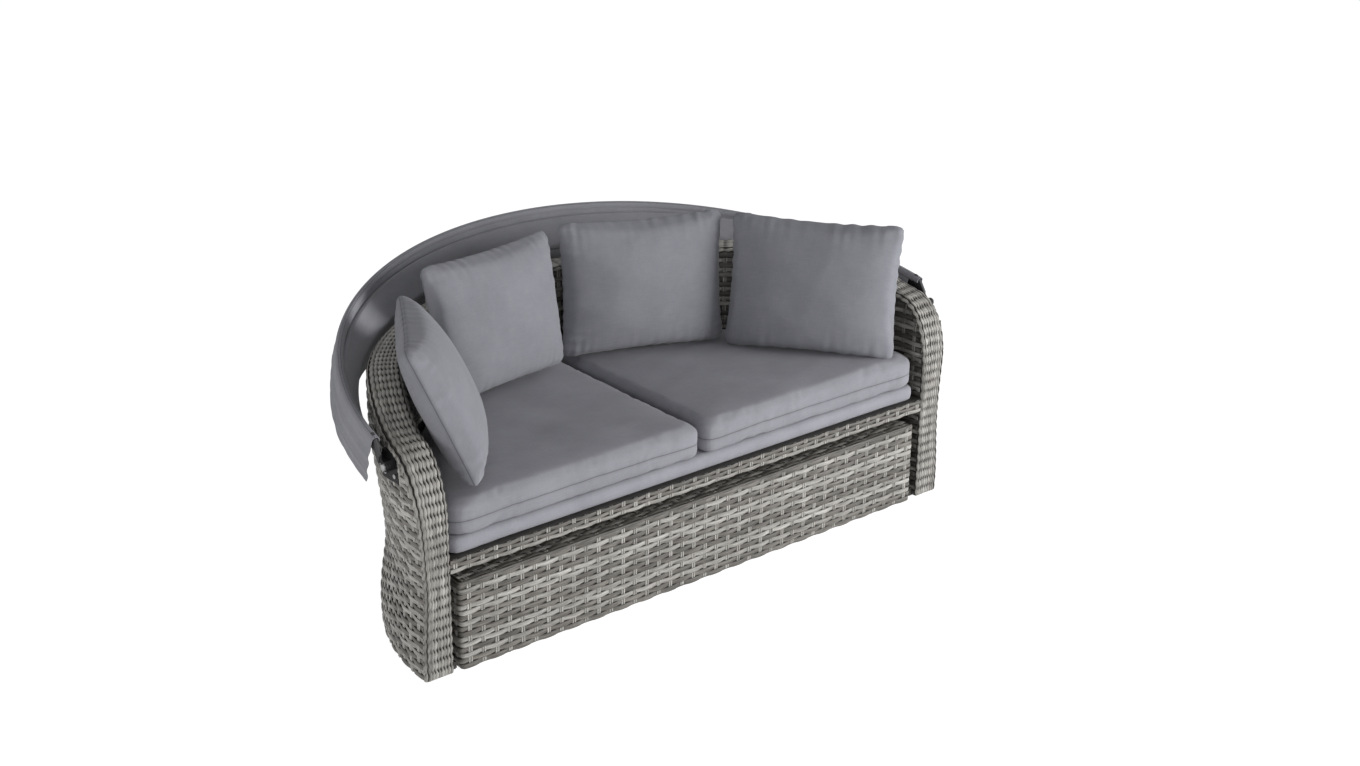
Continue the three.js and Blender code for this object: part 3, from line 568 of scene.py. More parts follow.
def weave_wall(name, wall, half_width, depth, facing, spans, stakes, seed):
    """Rows of strands along a wall and pairs of stakes up it. spans gives a height's first and last angles;
    stakes gives the angle, foot and top of each. facing is 1 outside and -1 inside, where the strands have fewer
    points and the shaded finishes."""
    outside = facing > 0
    row_places, stake_places = (300, 40) if outside else (220, 26)
    finishes = (light_strand, dark_strand) if outside else (shaded_light_strand, shaded_dark_strand)
    angles, lengths = oval_table(half_width, depth)
    rows = []
    for i in range(ROWS):
        z = FIRST_ROW + ROW_PITCH * i
        for span in spans(z):
            where = np.linspace(*np.interp(span, angles, lengths), row_places)
            turn = np.interp(where, lengths, angles)
            out = oval_normal(turn, half_width, depth) * facing
            line = wall(turn, z)
            run = where - lengths[-1] / 2
            if outside:
                line = line - out * ((row_stand(run, i) - PRESSED_STAND) * (1 - under_bracket(line)))[:, None]
            rows.append((i, line, out, run))
    make_rows(name, rows, "sofa", seed, finishes=finishes)
    turns, lows, highs = map(np.array, zip(*stakes))
    z = lows[:, None] + (highs - lows)[:, None] * np.linspace(0, 1, stake_places)
    lines = wall(turns[:, None], z)
    out = np.broadcast_to((oval_normal(turns, half_width, depth) * facing)[:, None], lines.shape)
    if outside:
        lines = lines - out * (STAKE_PRESS * (1 - under_bracket(lines)))[..., None]
    make_stakes(f"{name}_stakes", lines, out, np.cross(out, UP), "sofa", seed + 2,
                stake_strand if outside else shaded_light_strand)


def stake_angles(half_width, depth):
    """The angles at which stakes stand, a pitch apart from the middle of the back."""
    angles, lengths = oval_table(half_width, depth)
    half = int(lengths[-1] / 2 / STAKE_PITCH)
    return np.interp(lengths[-1] / 2 + np.arange(-half, half + 1) * STAKE_PITCH, lengths, angles)


def clear_of_rim(height, depth, front):
    """The first angle, from a distance behind the arms' front, at which the rim is 13 or more over a row."""
    turn = np.linspace(math.asin(front / depth), np.pi / 2, 3000)
    open_to = top_height(DEPTH * np.sin(turn)) - 13 - height
    return turn[np.argmax(open_to > 0)] if (open_to > 0).any() else None


def outer_spans(height):
    """Outside, a row runs round the whole wall wherever the rim is over it."""
    first = clear_of_rim(height, DEPTH, 1.5)
    return [] if first is None else [(first, np.pi - first)]


def inner_spans(height):
    """Inside, there are no rows beside the seat frame, from 276 to 322 high. Under it they end 330 back, beside
    the footstool, and beside the cushions 70 back, as nothing further back is seen."""
    first = clear_of_rim(height, INNER_DEPTH, 5)
    if first is None or 276 < height < 322:
        return []
    if height < SEAT_TOP:
        last = math.asin((330 if height < 280 else 70) / INNER_DEPTH)
        return [(first, last), (np.pi - last, np.pi - first)]
    return [(first, np.pi - first)]


# A stake ends 10 under the rim. Outside its foot is 8 over the floor, and inside it is on the seat frame at 322,
# or, further back than 60, over the cushions at 446. Beside the footstool short ones stand from 28 to 278.
outside_stakes = [(turn, 8, top_height(DEPTH * math.sin(turn)) - 10) for turn in stake_angles(HALF_WIDTH, DEPTH)
                  if DEPTH * math.sin(turn) > 6]
weave_wall("wall_outside", outer_wall, HALF_WIDTH, DEPTH, 1, outer_spans, outside_stakes, 11)
inner_turns = [(turn, INNER_DEPTH * math.sin(turn)) for turn in stake_angles(INNER_HALF_WIDTH, INNER_DEPTH)]
inside_stakes = [(turn, 446 if y > 60 else 322, top_height(DEPTH * math.sin(turn)) - 10) for turn, y in inner_turns
                 if y > 6] + [(turn, 28, 278) for turn, y in inner_turns if 6 < y < 328]
weave_wall("wall_inside", inner_wall, INNER_HALF_WIDTH, INNER_DEPTH, -1, inner_spans, inside_stakes, 21)


# ---- strands over the arms' fronts and the rim

def rim_line(share):
    """The line up the left arm's front, over its nose, round the rim and down the right arm's front, at a share
    of the wall's thickness from the outside, in steps of under 5, and the radius of the rim's edges along it."""
    front = np.linspace(8, NOSE_FOOT - 0.5, 92)
    nose = np.linspace(0, np.pi / 2, 50)[1:]
    nose_y = NOSE_DEPTH * (1 - np.cos(nose))
    angles, lengths = oval_table(HALF_WIDTH, DEPTH)
    start = np.interp(math.asin(NOSE_DEPTH / DEPTH), angles, lengths)
    back = np.interp(np.linspace(start, lengths[-1] - start, 520)[1:-1], lengths, angles)
    left_turn = np.concatenate([np.zeros(len(front)), np.arcsin(nose_y / DEPTH)])
    left_z = np.concatenate([front, top_height(nose_y)])
    left_rounding = np.concatenate([np.linspace(5, 6, len(front)), np.linspace(6, 17, len(nose))])
    turn = np.concatenate([left_turn, back, np.pi - left_turn[::-1]])
    z = np.concatenate([left_z, top_height(DEPTH * np.sin(back)), left_z[::-1]])
    line = outer_wall(turn, z) * (1 - share) + inner_wall(turn, z) * share
    return line, np.concatenate([left_rounding, np.full(len(back), 17.0), left_rounding[::-1]])


def rim_surface(share):
    """Points and outward normals of the rim at a share across it, its edges rounded by a quarter circle."""
    left, right = rim_line(0)[0], rim_line(1)[0]
    thick = np.linalg.norm(left - right, axis=1)

    def rounded(s):
        """The line at a share s, drawn in near the rim's edges to their quarter circles: r - √(r² - d²)."""
        line, radius = rim_line(s)
        along = unit(np.gradient(line, axis=0))
        out = unit(np.cross(right - left, along))
        inward = np.clip(radius - np.minimum(s, 1 - s) * thick, 0, radius)
        return line - out * (radius - np.sqrt(radius ** 2 - inward ** 2))[:, None]

    here, over, under = rounded(share), rounded(min(share + 0.02, 1.0)), rounded(max(share - 0.02, 0.0))
    return here, unit(np.cross(over - under, unit(np.gradient(here, axis=0))))


SLOT_PITCH = 28.0
SLOT_OPENING = (0.15, 0.25, 0.5, 1, 1, 1, 1, 1, 0.7)


def make_rim_strands():
    """Nine strands side by side from the outer corner to the inner one. Every slot pitch, told along the middle of
    the rim, they dip together and narrow, so that rows of short dark slots open between them, least of all near
    the outer corner. They sway by a sine of one pitch, so that the slots lean."""
    lines, outs, widths, dip_shade = [], [], [], []
    middle = rim_surface(0.5)[0]
    run = lengths_along(middle)
    run -= run[-1] / 2
    for k, share in enumerate(np.linspace(0.012, 0.955, len(SLOT_OPENING))):
        here, normal = rim_surface(share)
        aside = np.cross(normal, unit(np.gradient(here, axis=0)))
        sway = -1.2 * np.sin(2 * np.pi * np.abs(run) / SLOT_PITCH)
        slot = (0.5 + 0.5 * np.cos(2 * np.pi * run / SLOT_PITCH + 0.35 * drift(run, 330 + k, 150))) ** 2.2
        open_to = SLOT_OPENING[k]
        lines.append(here + normal * (2.9 + 0.25 * (k % 2) - 1.7 * slot)[:, None] + aside * sway[:, None])
        outs.append(normal)
        widths.append(10.2 - 5.2 * slot * open_to + 0.3 * drift(run, 340 + k, 70))
        # Painted shade: the strands darken where they dip at a slot.
        dip_shade.append(slot * (0.5 + 0.5 * open_to))
    make_strands("rim_strands", lines, outs, widths, 2.2, rim_strand, "sofa", seed=32, dip_shade=dip_shade)


make_rim_strands()


# ---- rail, floor sills and footstool weave

def straight_row(ends, y, z, out):
    """A row's line, normals and lengths between two x at a fixed depth and height."""
    x = np.linspace(*ends, 196)
    line = stacked(x, y, z)
    return line, np.broadcast_to(out, line.shape), x


def make_rail_weave():
    """Three rows along the seat's front rail, a light one at its lower edge and two dark ones over it, and its
    stakes."""
    rows = [(i, *straight_row((-815, 815), 1.0, z, TO_FRONT)) for i, z in ((4, 285.5), (3, 297.6), (2, 309.8))]
    make_rows("rail", rows, "sofa", 41, narrower=3.4)
    x = np.arange(-20, 21) * STAKE_PITCH
    lines = stacked(x[:, None], 1.0, np.linspace(281, 316, 6))
    make_stakes("rail_stakes", lines, np.broadcast_to(TO_FRONT, lines.shape), TO_RIGHT, "sofa", 43)


make_rail_weave()


def make_sill_strands():
    """Three strands along the floor sill inside each arm: two on its face and one on its top."""
    paths, outs = [], []
    run = np.linspace(12, 320, 60)
    left = np.arcsin(run / INNER_DEPTH)
    for turn in (left, np.pi - left):
        into = -oval_normal(turn, INNER_HALF_WIDTH, INNER_DEPTH)
        for k, (inset, z, facing) in enumerate(((16.7, 12.0, into), (16.7, 21.5, into), (8.7, 26.3, UP))):
            out = np.broadcast_to(facing, into.shape)
            paths.append(inner_wall(turn, z) + into * inset + out * (1.6 + 0.8 * row_wave(run, k))[:, None])
            outs.append(out)
    make_strands("floor_sill_strands", paths, outs, 8.6, STRAND_THICK, dark_strand, "sofa", seed=45)


make_sill_strands()

STOOL_HALF_WIDTH, STOOL_DEPTH, STOOL_FRONT, STOOL_TOP = 787.0, 670.0, 1.5, 244.0


def stool_outline():
    """The footstool's half-oval outline from the middle of its front to the right, round the back and home,
    with corners of radius 10, as points, outward normals and lengths, about 8 apart and closer at corners."""
    corner = 10.0
    edge = STOOL_HALF_WIDTH * math.sqrt(1 - (STOOL_FRONT / STOOL_DEPTH) ** 2)
    turn = np.linspace(math.asin((STOOL_FRONT + corner) / STOOL_DEPTH), np.pi / 2, 146)
    rounded = bend_line((edge - corner, STOOL_FRONT), (edge, STOOL_FRONT),
                        (STOOL_HALF_WIDTH * math.cos(turn[0]), STOOL_FRONT + corner), 8)
    front = np.linspace((0, STOOL_FRONT), (edge - corner, STOOL_FRONT), 98)[:-1]
    half = np.concatenate([front, rounded, oval_line(turn, STOOL_HALF_WIDTH, STOOL_DEPTH)[1:]])
    left = half[-2:0:-1] * [-1, 1]
    line = np.concatenate([half, left])
    along = unit(np.roll(line, -1, 0) - np.roll(line, 1, 0))
    lengths = lengths_along(line)
    total = lengths[-1] + np.linalg.norm(line[0] - line[-1])
    return line, np.stack([along[:, 1], -along[:, 0]], -1), lengths, total


def make_footstool_weave():
    """Rows round the footstool's wall, in lengths that fit a whole even number of stakes, and the stakes."""
    line, normal, lengths, total = stool_outline()
    stakes = 2 * round(total / STAKE_PITCH / 2)
    run = lengths * STAKE_PITCH * stakes / total
    out = np.concatenate([normal, np.zeros((len(line), 1))], 1)
    flat = np.concatenate([line, np.zeros((len(line), 1))], 1)
    rows = [(i, flat + [0, 0, 234.4 - ROW_PITCH * i], out, run) for i in range(16)]
    make_rows("footstool", rows, "footstool", 51, loops=True)
    tilted = unit(out + UP)
    make_strands("footstool_edge_strand", [flat + [0, 0, 242.0] + tilted * 1.9], [tilted], 6.0, 1.6, dark_strand,
                 "footstool", loops=True, seed=53)
    places = np.interp(np.arange(stakes) * total / stakes, np.append(lengths, total), np.arange(len(line) + 1))
    near = np.floor(places).astype(int) % len(line)
    spots = line[near] + (line[(near + 1) % len(line)] - line[near]) * (places % 1)[:, None]
    lines = stacked(spots[:, :1], spots[:, 1:], np.linspace(9, 239, 24))
    outs = np.broadcast_to(out[near][:, None], lines.shape)
    make_stakes("footstool_stakes", lines, outs, np.cross(outs, UP), "footstool", 54)


make_footstool_weave()


def make_lid_weave():
    """Rows across the footstool's top, each as long as the half oval is wide there, and stakes front to back."""
    rows = []
    for i, y in enumerate(12 + ROW_PITCH * np.arange(43)):
        half = STOOL_HALF_WIDTH * math.sqrt(1 - (y / STOOL_DEPTH) ** 2) - 8
        rows.append((i, *straight_row((-half, half), y, STOOL_TOP - 1, UP)))
    make_rows("footstool_lid", rows, "footstool", 61)
    x = np.arange(-19, 20) * STAKE_PITCH
    far = STOOL_DEPTH * np.sqrt(1 - (np.abs(x) + 9) ** 2 / STOOL_HALF_WIDTH ** 2) - 5
    y = 8 + (far - 8)[:, None] * np.linspace(0, 1, 60)
    lines = stacked(x[:, None], y, STOOL_TOP - 1)
    make_stakes("footstool_lid_stakes", lines, np.broadcast_to(UP, lines.shape), TO_RIGHT, "footstool", 63)


make_lid_weave()


# ---- cushions and pillows

SEAT_HALF_WIDTH, SEAT_DEPTH = 811.0, 700.0
SWELLING_FRAMES = 20


def as_modified(piece):
    """A new mesh of the piece as its modifiers leave it."""
    return bpy.data.meshes.new_from_object(piece.evaluated_get(bpy.context.evaluated_depsgraph_get()))


def swollen(piece, voxel, cap, sideways=1.0):
    """Remeshes a closed piece in even squares, blows it up as cloth for 20 frames without gravity, and lets no
    point move further than the cap, in metres. sideways is the share of the level movement that a foam block
    inside the cover lets through."""
    remesh = piece.modifiers.new("even squares", "REMESH")
    remesh.mode, remesh.voxel_size = "VOXEL", voxel
    piece.data = even = as_modified(piece)
    piece.modifiers.clear()
    start = read_all(even.vertices, "co", 3)
    cloth = piece.modifiers.new("swelling", "CLOTH")
    cloth.settings.use_pressure = True
    cloth.settings.uniform_pressure_force = 4
    cloth.settings.effector_weights.gravity = 0
    cloth.settings.quality = 3
    cloth.settings.tension_stiffness = cloth.settings.compression_stiffness = 25
    cloth.settings.bending_stiffness = 1.5
    cloth.point_cache.frame_end = SWELLING_FRAMES
    for step in range(SWELLING_FRAMES):
        bpy.context.scene.frame_set(step + 1)
    moved = read_all(as_modified(piece).vertices, "co", 3)
    piece.modifiers.clear()
    bpy.context.scene.frame_set(1)
    shift = (moved - start) * [sideways, sideways, 1]
    far = np.linalg.norm(shift, axis=1, keepdims=True)
    even.vertices.foreach_set("co", (start + shift * np.minimum(1, cap / np.maximum(far, 1e-9))).ravel())


def dress(piece, points, uv, seam):
    """Puts the final points, in metres, a flat map and a seam map into a cushion's mesh and rounds it by
    subdivision. The seam map holds each point's height off the seam and its distance in from the edge."""
    mesh = piece.data
    mesh.vertices.foreach_set("co", points.ravel())
    add_map(mesh, "Cloth", uv)
    add_map(mesh, "Seam", seam)
    mesh.shade_smooth()
    mesh.update()
    finer = piece.modifiers.new("finer", "SUBSURF")
    finer.levels = finer.render_levels = 1


def cushion_shape(outline, low, high, crown, round_edge):
    """A closed cushion: the outline drawn in towards its middle in rings, with quarter-round edges below and
    above, and a crown of 1 - s⁴ over the top, where s is a ring's size."""
    middle = outline.mean(0)
    turns = np.linspace(0, np.pi / 2, 5)
    inset = round_edge * (1 - np.cos(turns))
    rise = round_edge * (1 - np.sin(turns))
    reach = np.linalg.norm(outline - middle, axis=1)[:, None]

    def ring(drawn, z):
        """The outline drawn in by distances towards its middle, at a height."""
        flat = middle + (outline - middle) * (1 - drawn / reach)
        return np.concatenate([flat, np.full((len(flat), 1), z)], 1)

    low_rings = [ring(reach * (1 - s) + round_edge * s, low) for s in (0.02, 0.3, 0.6, 0.85)]
    side = [ring(d, low + r) for d, r in zip(inset[::-1], rise[::-1])]
    side += [ring(0, low + (high - low) * s) for s in (0.35, 0.5, 0.65)]
    side += [ring(d, high - r) for d, r in zip(inset, rise)]
    top_rings = [ring(reach * (1 - s) + round_edge * s, high + crown * (1 - s ** 4))
                 for s in (0.93, 0.8, 0.6, 0.3, 0.02)]
    rings = np.array(low_rings + side + top_rings)
    count = len(outline)
    faces = grid_faces(len(rings), count, columns_close=True)
    points = np.concatenate([rings.reshape(-1, 3), rings[:1].mean(1), rings[-1:].mean(1)])
    last = (len(rings) - 1) * count
    i = np.arange(count)
    fans = np.concatenate([np.stack([(i + 1) % count, i, np.full(count, len(points) - 2)], -1),
                           np.stack([last + i, last + (i + 1) % count, np.full(count, len(points) - 1)], -1)])
    return points, faces.tolist() + fans.tolist()


def half_cushion_outline(shrink):
    """One seat cushion seen from above: the right half of the oval, shrunk all round, its corners rounded and
    the one at the arm most."""
    a, b, edge, front = SEAT_HALF_WIDTH - shrink, SEAT_DEPTH - shrink, 1.5 + shrink, 2 + shrink
    corner, wide = 40.0, 72.0
    corner_x = a * math.sqrt(1 - (front / b) ** 2)
    turn = np.linspace(math.asin((front + wide) / b), math.acos((edge + corner) / a), 60)
    arc = oval_line(turn, a, b)
    return np.concatenate([bend_line((corner_x - wide, front), (corner_x, front), arc[0], 13), arc[1:-1],
                           bend_line(arc[-1], (edge, b), (edge, b - corner)),
                           np.linspace((edge, b - corner), (edge, front + corner), 30)[1:-1],
                           bend_line((edge, front + corner), (edge, front), (edge + corner, front)),
                           np.linspace((edge + corner, front), (corner_x - wide, front), 34)[1:-1]])


def pad_outline(shrink):
    """The one-piece lower pad seen from above: the whole half oval with rounded front corners."""
    a, b, corner, front = SEAT_HALF_WIDTH - shrink, SEAT_DEPTH - shrink, 40.0, 4 + shrink
    corner_x = a * math.sqrt(1 - (front / b) ** 2)
    start = math.asin((front + corner) / b)
    turn = np.linspace(start, np.pi - start, 110)
    arc = oval_line(turn, a, b)
    right = bend_line((corner_x - corner, front), (corner_x, front), arc[0])
    left = right * [-1, 1]
    return np.concatenate([right, arc[1:-1], left[::-1], np.linspace(left[0], right[0], 60)[1:-1]])


def finish_cushion(piece, low, high, front, edge, seed, draw):
    """Holds a swollen cushion between its floor and its neighbours, draws its cover in along a seam round its
    sides at mid-height, gathers it there, and lays long shallow creases over its top. front and edge are its
    least distances from the arms' front plane and from the middle of the seat."""
    p = read_all(piece.data.vertices, "co", 3) * 1000
    p[:, 1] += FOOTPRINT_MIDDLE
    middle = p.mean(0)
    seam = (low + high) / 2
    out = unit(p[:, :2] - middle[:2])
    reach = np.sqrt((p[:, 0] / SEAT_HALF_WIDTH) ** 2 + (np.maximum(p[:, 1], 0) / SEAT_DEPTH) ** 2)
    p[:, :2] /= np.maximum(reach, 1)[:, None]
    p[:, 1] = np.maximum(p[:, 1], front)
    if edge is not None:
        p[:, 0] = np.where(middle[0] > 0, np.maximum(p[:, 0], edge), np.minimum(p[:, 0], -edge))
    inside = np.minimum(SEAT_HALF_WIDTH * (1 - reach), p[:, 1] - front)
    if edge is not None:
        inside = np.minimum(inside, np.abs(p[:, 0]) - edge)
    side = 1 - smooth(inside / 26)
    pinch = side * np.exp(-((p[:, 2] - seam) / 5.5) ** 2) * draw
    p[:, :2] -= out * pinch[:, None]
    top = smooth((p[:, 2] - seam - 8) / 14)
    crease = (drift(p[:, 0] * 0.9 + p[:, 1] * 0.35, seed, 190) + 0.5 * drift(p[:, 1] - 0.3 * p[:, 0], seed + 1, 120)
              + 0.15 * drift(p[:, 0] * 0.3 + p[:, 1] * 1.4, seed + 2, 60))
    p[:, 2] += top * crease * 0.9
    pucker = drift(p[:, 0] + p[:, 1], seed + 3, 30) * side * np.exp(-((np.abs(p[:, 2] - seam) - 9) / 8) ** 2)
    p[:, :2] += out * pucker[:, None]
    p[:, 2] = np.maximum(p[:, 2], low)
    if high - low < 50:
        p[:, 2] = np.minimum(p[:, 2], high)
    uv = np.stack([p[:, 0], p[:, 1] + p[:, 2]], -1) * 0.001
    dress(piece, in_metres(p), uv, np.stack([p[:, 2] - seam, np.maximum(inside, 0)], -1) * 0.001)


def finish_soft(piece, node):
    """The cover stands for one of the frame's soft pieces on the seat, which is hidden, and rides on the sofa."""
    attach(piece, "sofa")
    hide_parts(node)


def make_cushion(node, shape, finish, voxel, cap, sideways, limits):
    """A cushion of the seat: its plain shape, swollen, then finished between its limits."""
    points, faces = shape
    piece = new_object(f"{node}_cover", new_mesh(f"{node}_cover", in_metres(points), faces, finish))
    face_outwards(piece)
    swollen(piece, voxel, cap, sideways)
    finish_cushion(piece, *limits)
    finish_soft(piece, node)


for side, sign, first_seed in (("right", 1, 71), ("left", -1, 81)):
    make_cushion(f"seat_cushion_{side}", cushion_shape(half_cushion_outline(2.2) * [sign, 1], 362, 440, 10, 12),
                 seat_cloth, 0.008, 0.012, 0.25, (360.4, SEAT_TOP, 2, 3.0, first_seed, 2.6))
make_cushion("lower_pad", cushion_shape(pad_outline(2.5), 318.0, 358.8, 0, 8), pad_cloth, 0.010, 0.005, 0.2,
             (317.4, 359.9, 2.4, None, 91, 0.6))

PILLOW_WIDTH, PILLOW_HEIGHT = 496.0, 394.0
PILLOW_FRONT, PILLOW_BACK = 77, 36


def pillow_thickness(u, v, power):
    """How full a pillow is, 0 at its seam to 1 in the middle: (1 - |u|^2.4)(1 - |v|^n) to a power, n being 2.4
    above the middle and 3.6 below it, where the filling has settled."""
    settled = np.where(v < 0, 3.6, 2.4)
    return (np.clip(1 - np.abs(u) ** 2.4, 0, 1) * np.clip(1 - np.abs(v) ** settled, 0, 1)) ** power


def eased(points, mesh, rounds):
    """Each point moved halfway to the mean of its neighbours, a number of times."""
    ends = read_all(mesh.edges, "vertices", 2, int)
    neighbours = np.bincount(ends.ravel(), minlength=len(points))[:, None]
    for _ in range(rounds):
        total = np.zeros_like(points)
        np.add.at(total, ends[:, 0], points[ends[:, 1]])
        np.add.at(total, ends[:, 1], points[ends[:, 0]])
        points = (points + total / neighbours) / 2
    return points


def pillow_shape(front, back, draw):
    """A closed pillow: front and back sheets over a square, spaced by sines so that they close round the edge."""
    columns, rows = 34, 28
    i, j = np.meshgrid(np.arange(columns + 1), np.arange(rows + 1))
    u, v = np.sin((2 * i / columns - 1) * np.pi / 2), np.sin((2 * j / rows - 1) * np.pi / 2)
    full = pillow_thickness(u, v, 0.7)
    x = u * (PILLOW_WIDTH / 2 - 6 - draw * (1 - v * v))
    z = PILLOW_HEIGHT / 2 + v * (PILLOW_HEIGHT / 2 - 6 - draw * (1 - u * u))
    sheets = [np.stack([x, full * deep, z], -1).reshape(-1, 3) for deep in (-front, back)]
    flat = grid_faces(rows + 1, columns + 1)
    return np.concatenate(sheets), np.vstack([flat, flat[:, ::-1] + len(sheets[0])])


def turn_matrix(facing, lean, roll):
    """Roll about y, lean about x and facing about z, in that order."""
    return np.array(Matrix.Rotation(math.radians(facing), 3, "Z") @ Matrix.Rotation(math.radians(-lean), 3, "X")
                    @ Matrix.Rotation(math.radians(-roll), 3, "Y"))


def stretched_to(values, across, room):
    """Values scaled so that their furthest reach on both sides, at each place across, comes out at the room:
    reaches are found in 60 bins from -1 to 1, and the scales are evened out over three bins."""
    bins = 60
    slots = np.clip(((across + 1) * bins / 2).astype(int), 0, bins - 1)
    factor = np.ones(len(values))
    for side in (-1, 1):
        here = values * side > 0
        reach, wanted = np.zeros(bins), np.zeros(bins)
        np.maximum.at(reach, slots[here], np.abs(values[here]))
        np.maximum.at(wanted, slots[here], room[here])
        scale = np.where(reach > 0, wanted / np.maximum(reach, 1), 1.0)
        scale = np.convolve(np.pad(np.clip(scale, 0.9, 1.4), 1, mode="edge"), [0.25, 0.5, 0.25], mode="valid")
        factor[here] = np.interp(across[here], (np.arange(bins) + 0.5) * 2 / bins - 1, scale)
    return values * factor


def make_pillow(name, at, facing, lean, roll, seed, plump=0):
    """A scatter pillow: blown up as cloth and eased, drawn back out to its own outline with rounded corners, given
    puckers that run in from its seams, soft dents, a groove along the seam and wavy edges, then turned, set down
    and pressed flat where it meets the wall. plump adds to the thickness of its back."""
    points, faces = pillow_shape(PILLOW_FRONT, PILLOW_BACK + plump, 9)
    piece = new_object(f"{name}_cover", new_mesh(name, points * 0.001, faces.tolist(), pillow_cloth))
    weld = piece.modifiers.new("close the seam", "WELD")
    weld.merge_threshold = 0.0004
    piece.data = as_modified(piece)
    piece.modifiers.clear()
    face_outwards(piece)
    swollen(piece, 0.006, 0.011)
    p = eased(read_all(piece.data.vertices, "co", 3) * 1000, piece.data, 14)
    half_x, half_z, corner, hollow = PILLOW_WIDTH / 2, PILLOW_HEIGHT / 2, 30.0, 11
    x, y, z = p[:, 0], p[:, 1], p[:, 2] - half_z

    def room(reach, across, half_across):
        """How far the outline reaches: hollow between its corners and rounded at them."""
        inside = np.clip(np.abs(across) - (half_across - corner), 0, corner)
        return reach - hollow * (1 - (across / half_across) ** 2) - corner + np.sqrt(corner ** 2 - inside ** 2)

    for _ in range(2):
        x = stretched_to(x, z / half_z, room(half_x, z, half_z))
        z = stretched_to(z, x / half_x, room(half_z, x, half_x))
    dx = np.maximum(room(half_x, z, half_z) - np.abs(x), 0)
    dz = np.maximum(room(half_z, x, half_x) - np.abs(z), 0)
    u, v = np.clip(x / half_x, -1, 1), np.clip(z / half_z, -1, 1)
    edge = np.minimum(dx, dz)
    most = pillow_thickness(u, v, 0.5)
    y = np.clip(y, -(PILLOW_FRONT + 10) * most - 3, (PILLOW_BACK + 6 + plump) * most + 3)
    near_edge = 1 - np.exp(-edge / 10)
    puckers = (np.exp(-dz / 26) * drift(x, seed, 30) * (0.5 + 1.1 * u * u)
               + np.exp(-dx / 26) * drift(z, seed + 1, 30) * (0.5 + 1.1 * v * v))
    dents = drift(x + 0.4 * z, seed + 2, 210) + drift(z - 0.3 * x, seed + 3, 170)
    y += np.tanh(y / 12) * (puckers * 3.2 * near_edge - np.abs(dents) * 1.5 * most * near_edge)
    groove = np.exp(-(y / 3.2) ** 2) * (edge < 24) * 1.2
    x -= np.sign(x) * groove * (dx < dz)
    z -= np.sign(z) * groove * (dz <= dx)
    x -= np.sign(x) * np.exp(-dx / 24) * (1 + drift(z, seed + 5, 40)) * 1.3
    z -= np.sign(z) * np.exp(-dz / 24) * (1 + drift(x, seed + 6, 40)) * 1.3
    turned = np.stack([x, y, z + half_z], -1) @ turn_matrix(facing, lean, roll).T + np.array(at)
    reach = np.hypot(turned[:, 0] / (INNER_HALF_WIDTH - 6), np.maximum(turned[:, 1], 0) / (INNER_DEPTH - 6))
    over_rim = smooth((turned[:, 2] - top_height(turned[:, 1]) - 8) / 30)
    turned[:, :2] /= (1 + np.maximum(reach - 1, 0) * (1 - over_rim))[:, None]
    uv = np.stack([x, z + y * 0.5], -1) * 0.001 + seed
    dress(piece, in_metres(turned), uv, np.stack([y, edge], -1) * 0.001)
    finish_soft(piece, name)


def wall_place(angle, away, lift):
    """A point over the cushions at an angle round the wall and a distance in front of it."""
    a = math.radians(angle)
    return (-(INNER_HALF_WIDTH - away) * math.cos(a), (INNER_DEPTH - away) * math.sin(a), SEAT_TOP + lift)


make_pillow("pillow_left_arm", wall_place(23.576, 163.45, 20.5), 60.5, 24, -2.9, 101, plump=12)
make_pillow("pillow_left_back", wall_place(68.17, 107.05, 8.4), 12.7, 10.2, -1.9, 111)
make_pillow("pillow_right_back", wall_place(108.29, 144.64, 12.1), -18.9, 6, -0.7, 121)
make_pillow("pillow_right_arm", wall_place(154.796, 187.03, 7.9), -49.9, 10, -1.5, 131)


# ---- canopy cloth

HINGE_BACK, HINGE_HEIGHT = 90.0, 565.0
TILT = math.radians(13)
PLANE_UP = np.array([0, -math.sin(TILT), math.cos(TILT)])
REAR_SPAN, SPAN_STEP = 907.5, 6.5
REAR_REACH, REACH_STEP = 735.0, 38.5
REAR_RISE, RISE_STEP = -10.0, 17.0
COVER_STAND = 9.6


def sweeps(limit, count):
    """Angles round the canopy between two limits in degrees: 0 at the middle of the back, 90 at each hinge."""
    return np.radians(np.linspace(-limit, limit, count))[None, :]


def rib_point(rib, sweep, out, up):
    """A point near rib number rib (0 behind, 3 in front) of the folded canopy: out is square to the rib's oval
    and up square to the folded plane."""
    span, reach, rise = REAR_SPAN + SPAN_STEP * rib, REAR_REACH + REACH_STEP * rib, REAR_RISE + RISE_STEP * rib
    sweep, out, up = np.broadcast_arrays(sweep, out, up)
    normal = unit(np.stack([np.sin(sweep) / span, np.cos(sweep) / reach], -1))
    u = span * np.sin(sweep) + out * normal[..., 0]
    v = reach * np.cos(sweep) + out * normal[..., 1]
    h = rise + up
    return stacked(u, HINGE_BACK + v * math.cos(TILT) - h * math.sin(TILT),
                   HINGE_HEIGHT + v * math.sin(TILT) + h * math.cos(TILT))


def cloth_map(grid):
    """Lengths in metres along the middle row and down the middle column of a sheet's grid, as its map, and the
    sheet's cut: its length and depth and its own area, the sum of its quads, as it narrows to the hinges."""
    rows, columns, _ = grid.shape
    down, run = lengths_along(grid[:, columns // 2]), lengths_along(grid[rows // 2])
    over, along = grid[1:, 1:] - grid[:-1, :-1], grid[1:, :-1] - grid[:-1, 1:]
    area = np.linalg.norm(np.cross(over, along), axis=-1).sum() / 2
    cut = (run[-1] * 0.001, down[-1] * 0.001)
    return np.stack(np.meshgrid(run, down), -1) * 0.001, cut, min(area * 1e-6, cut[0] * cut[1])


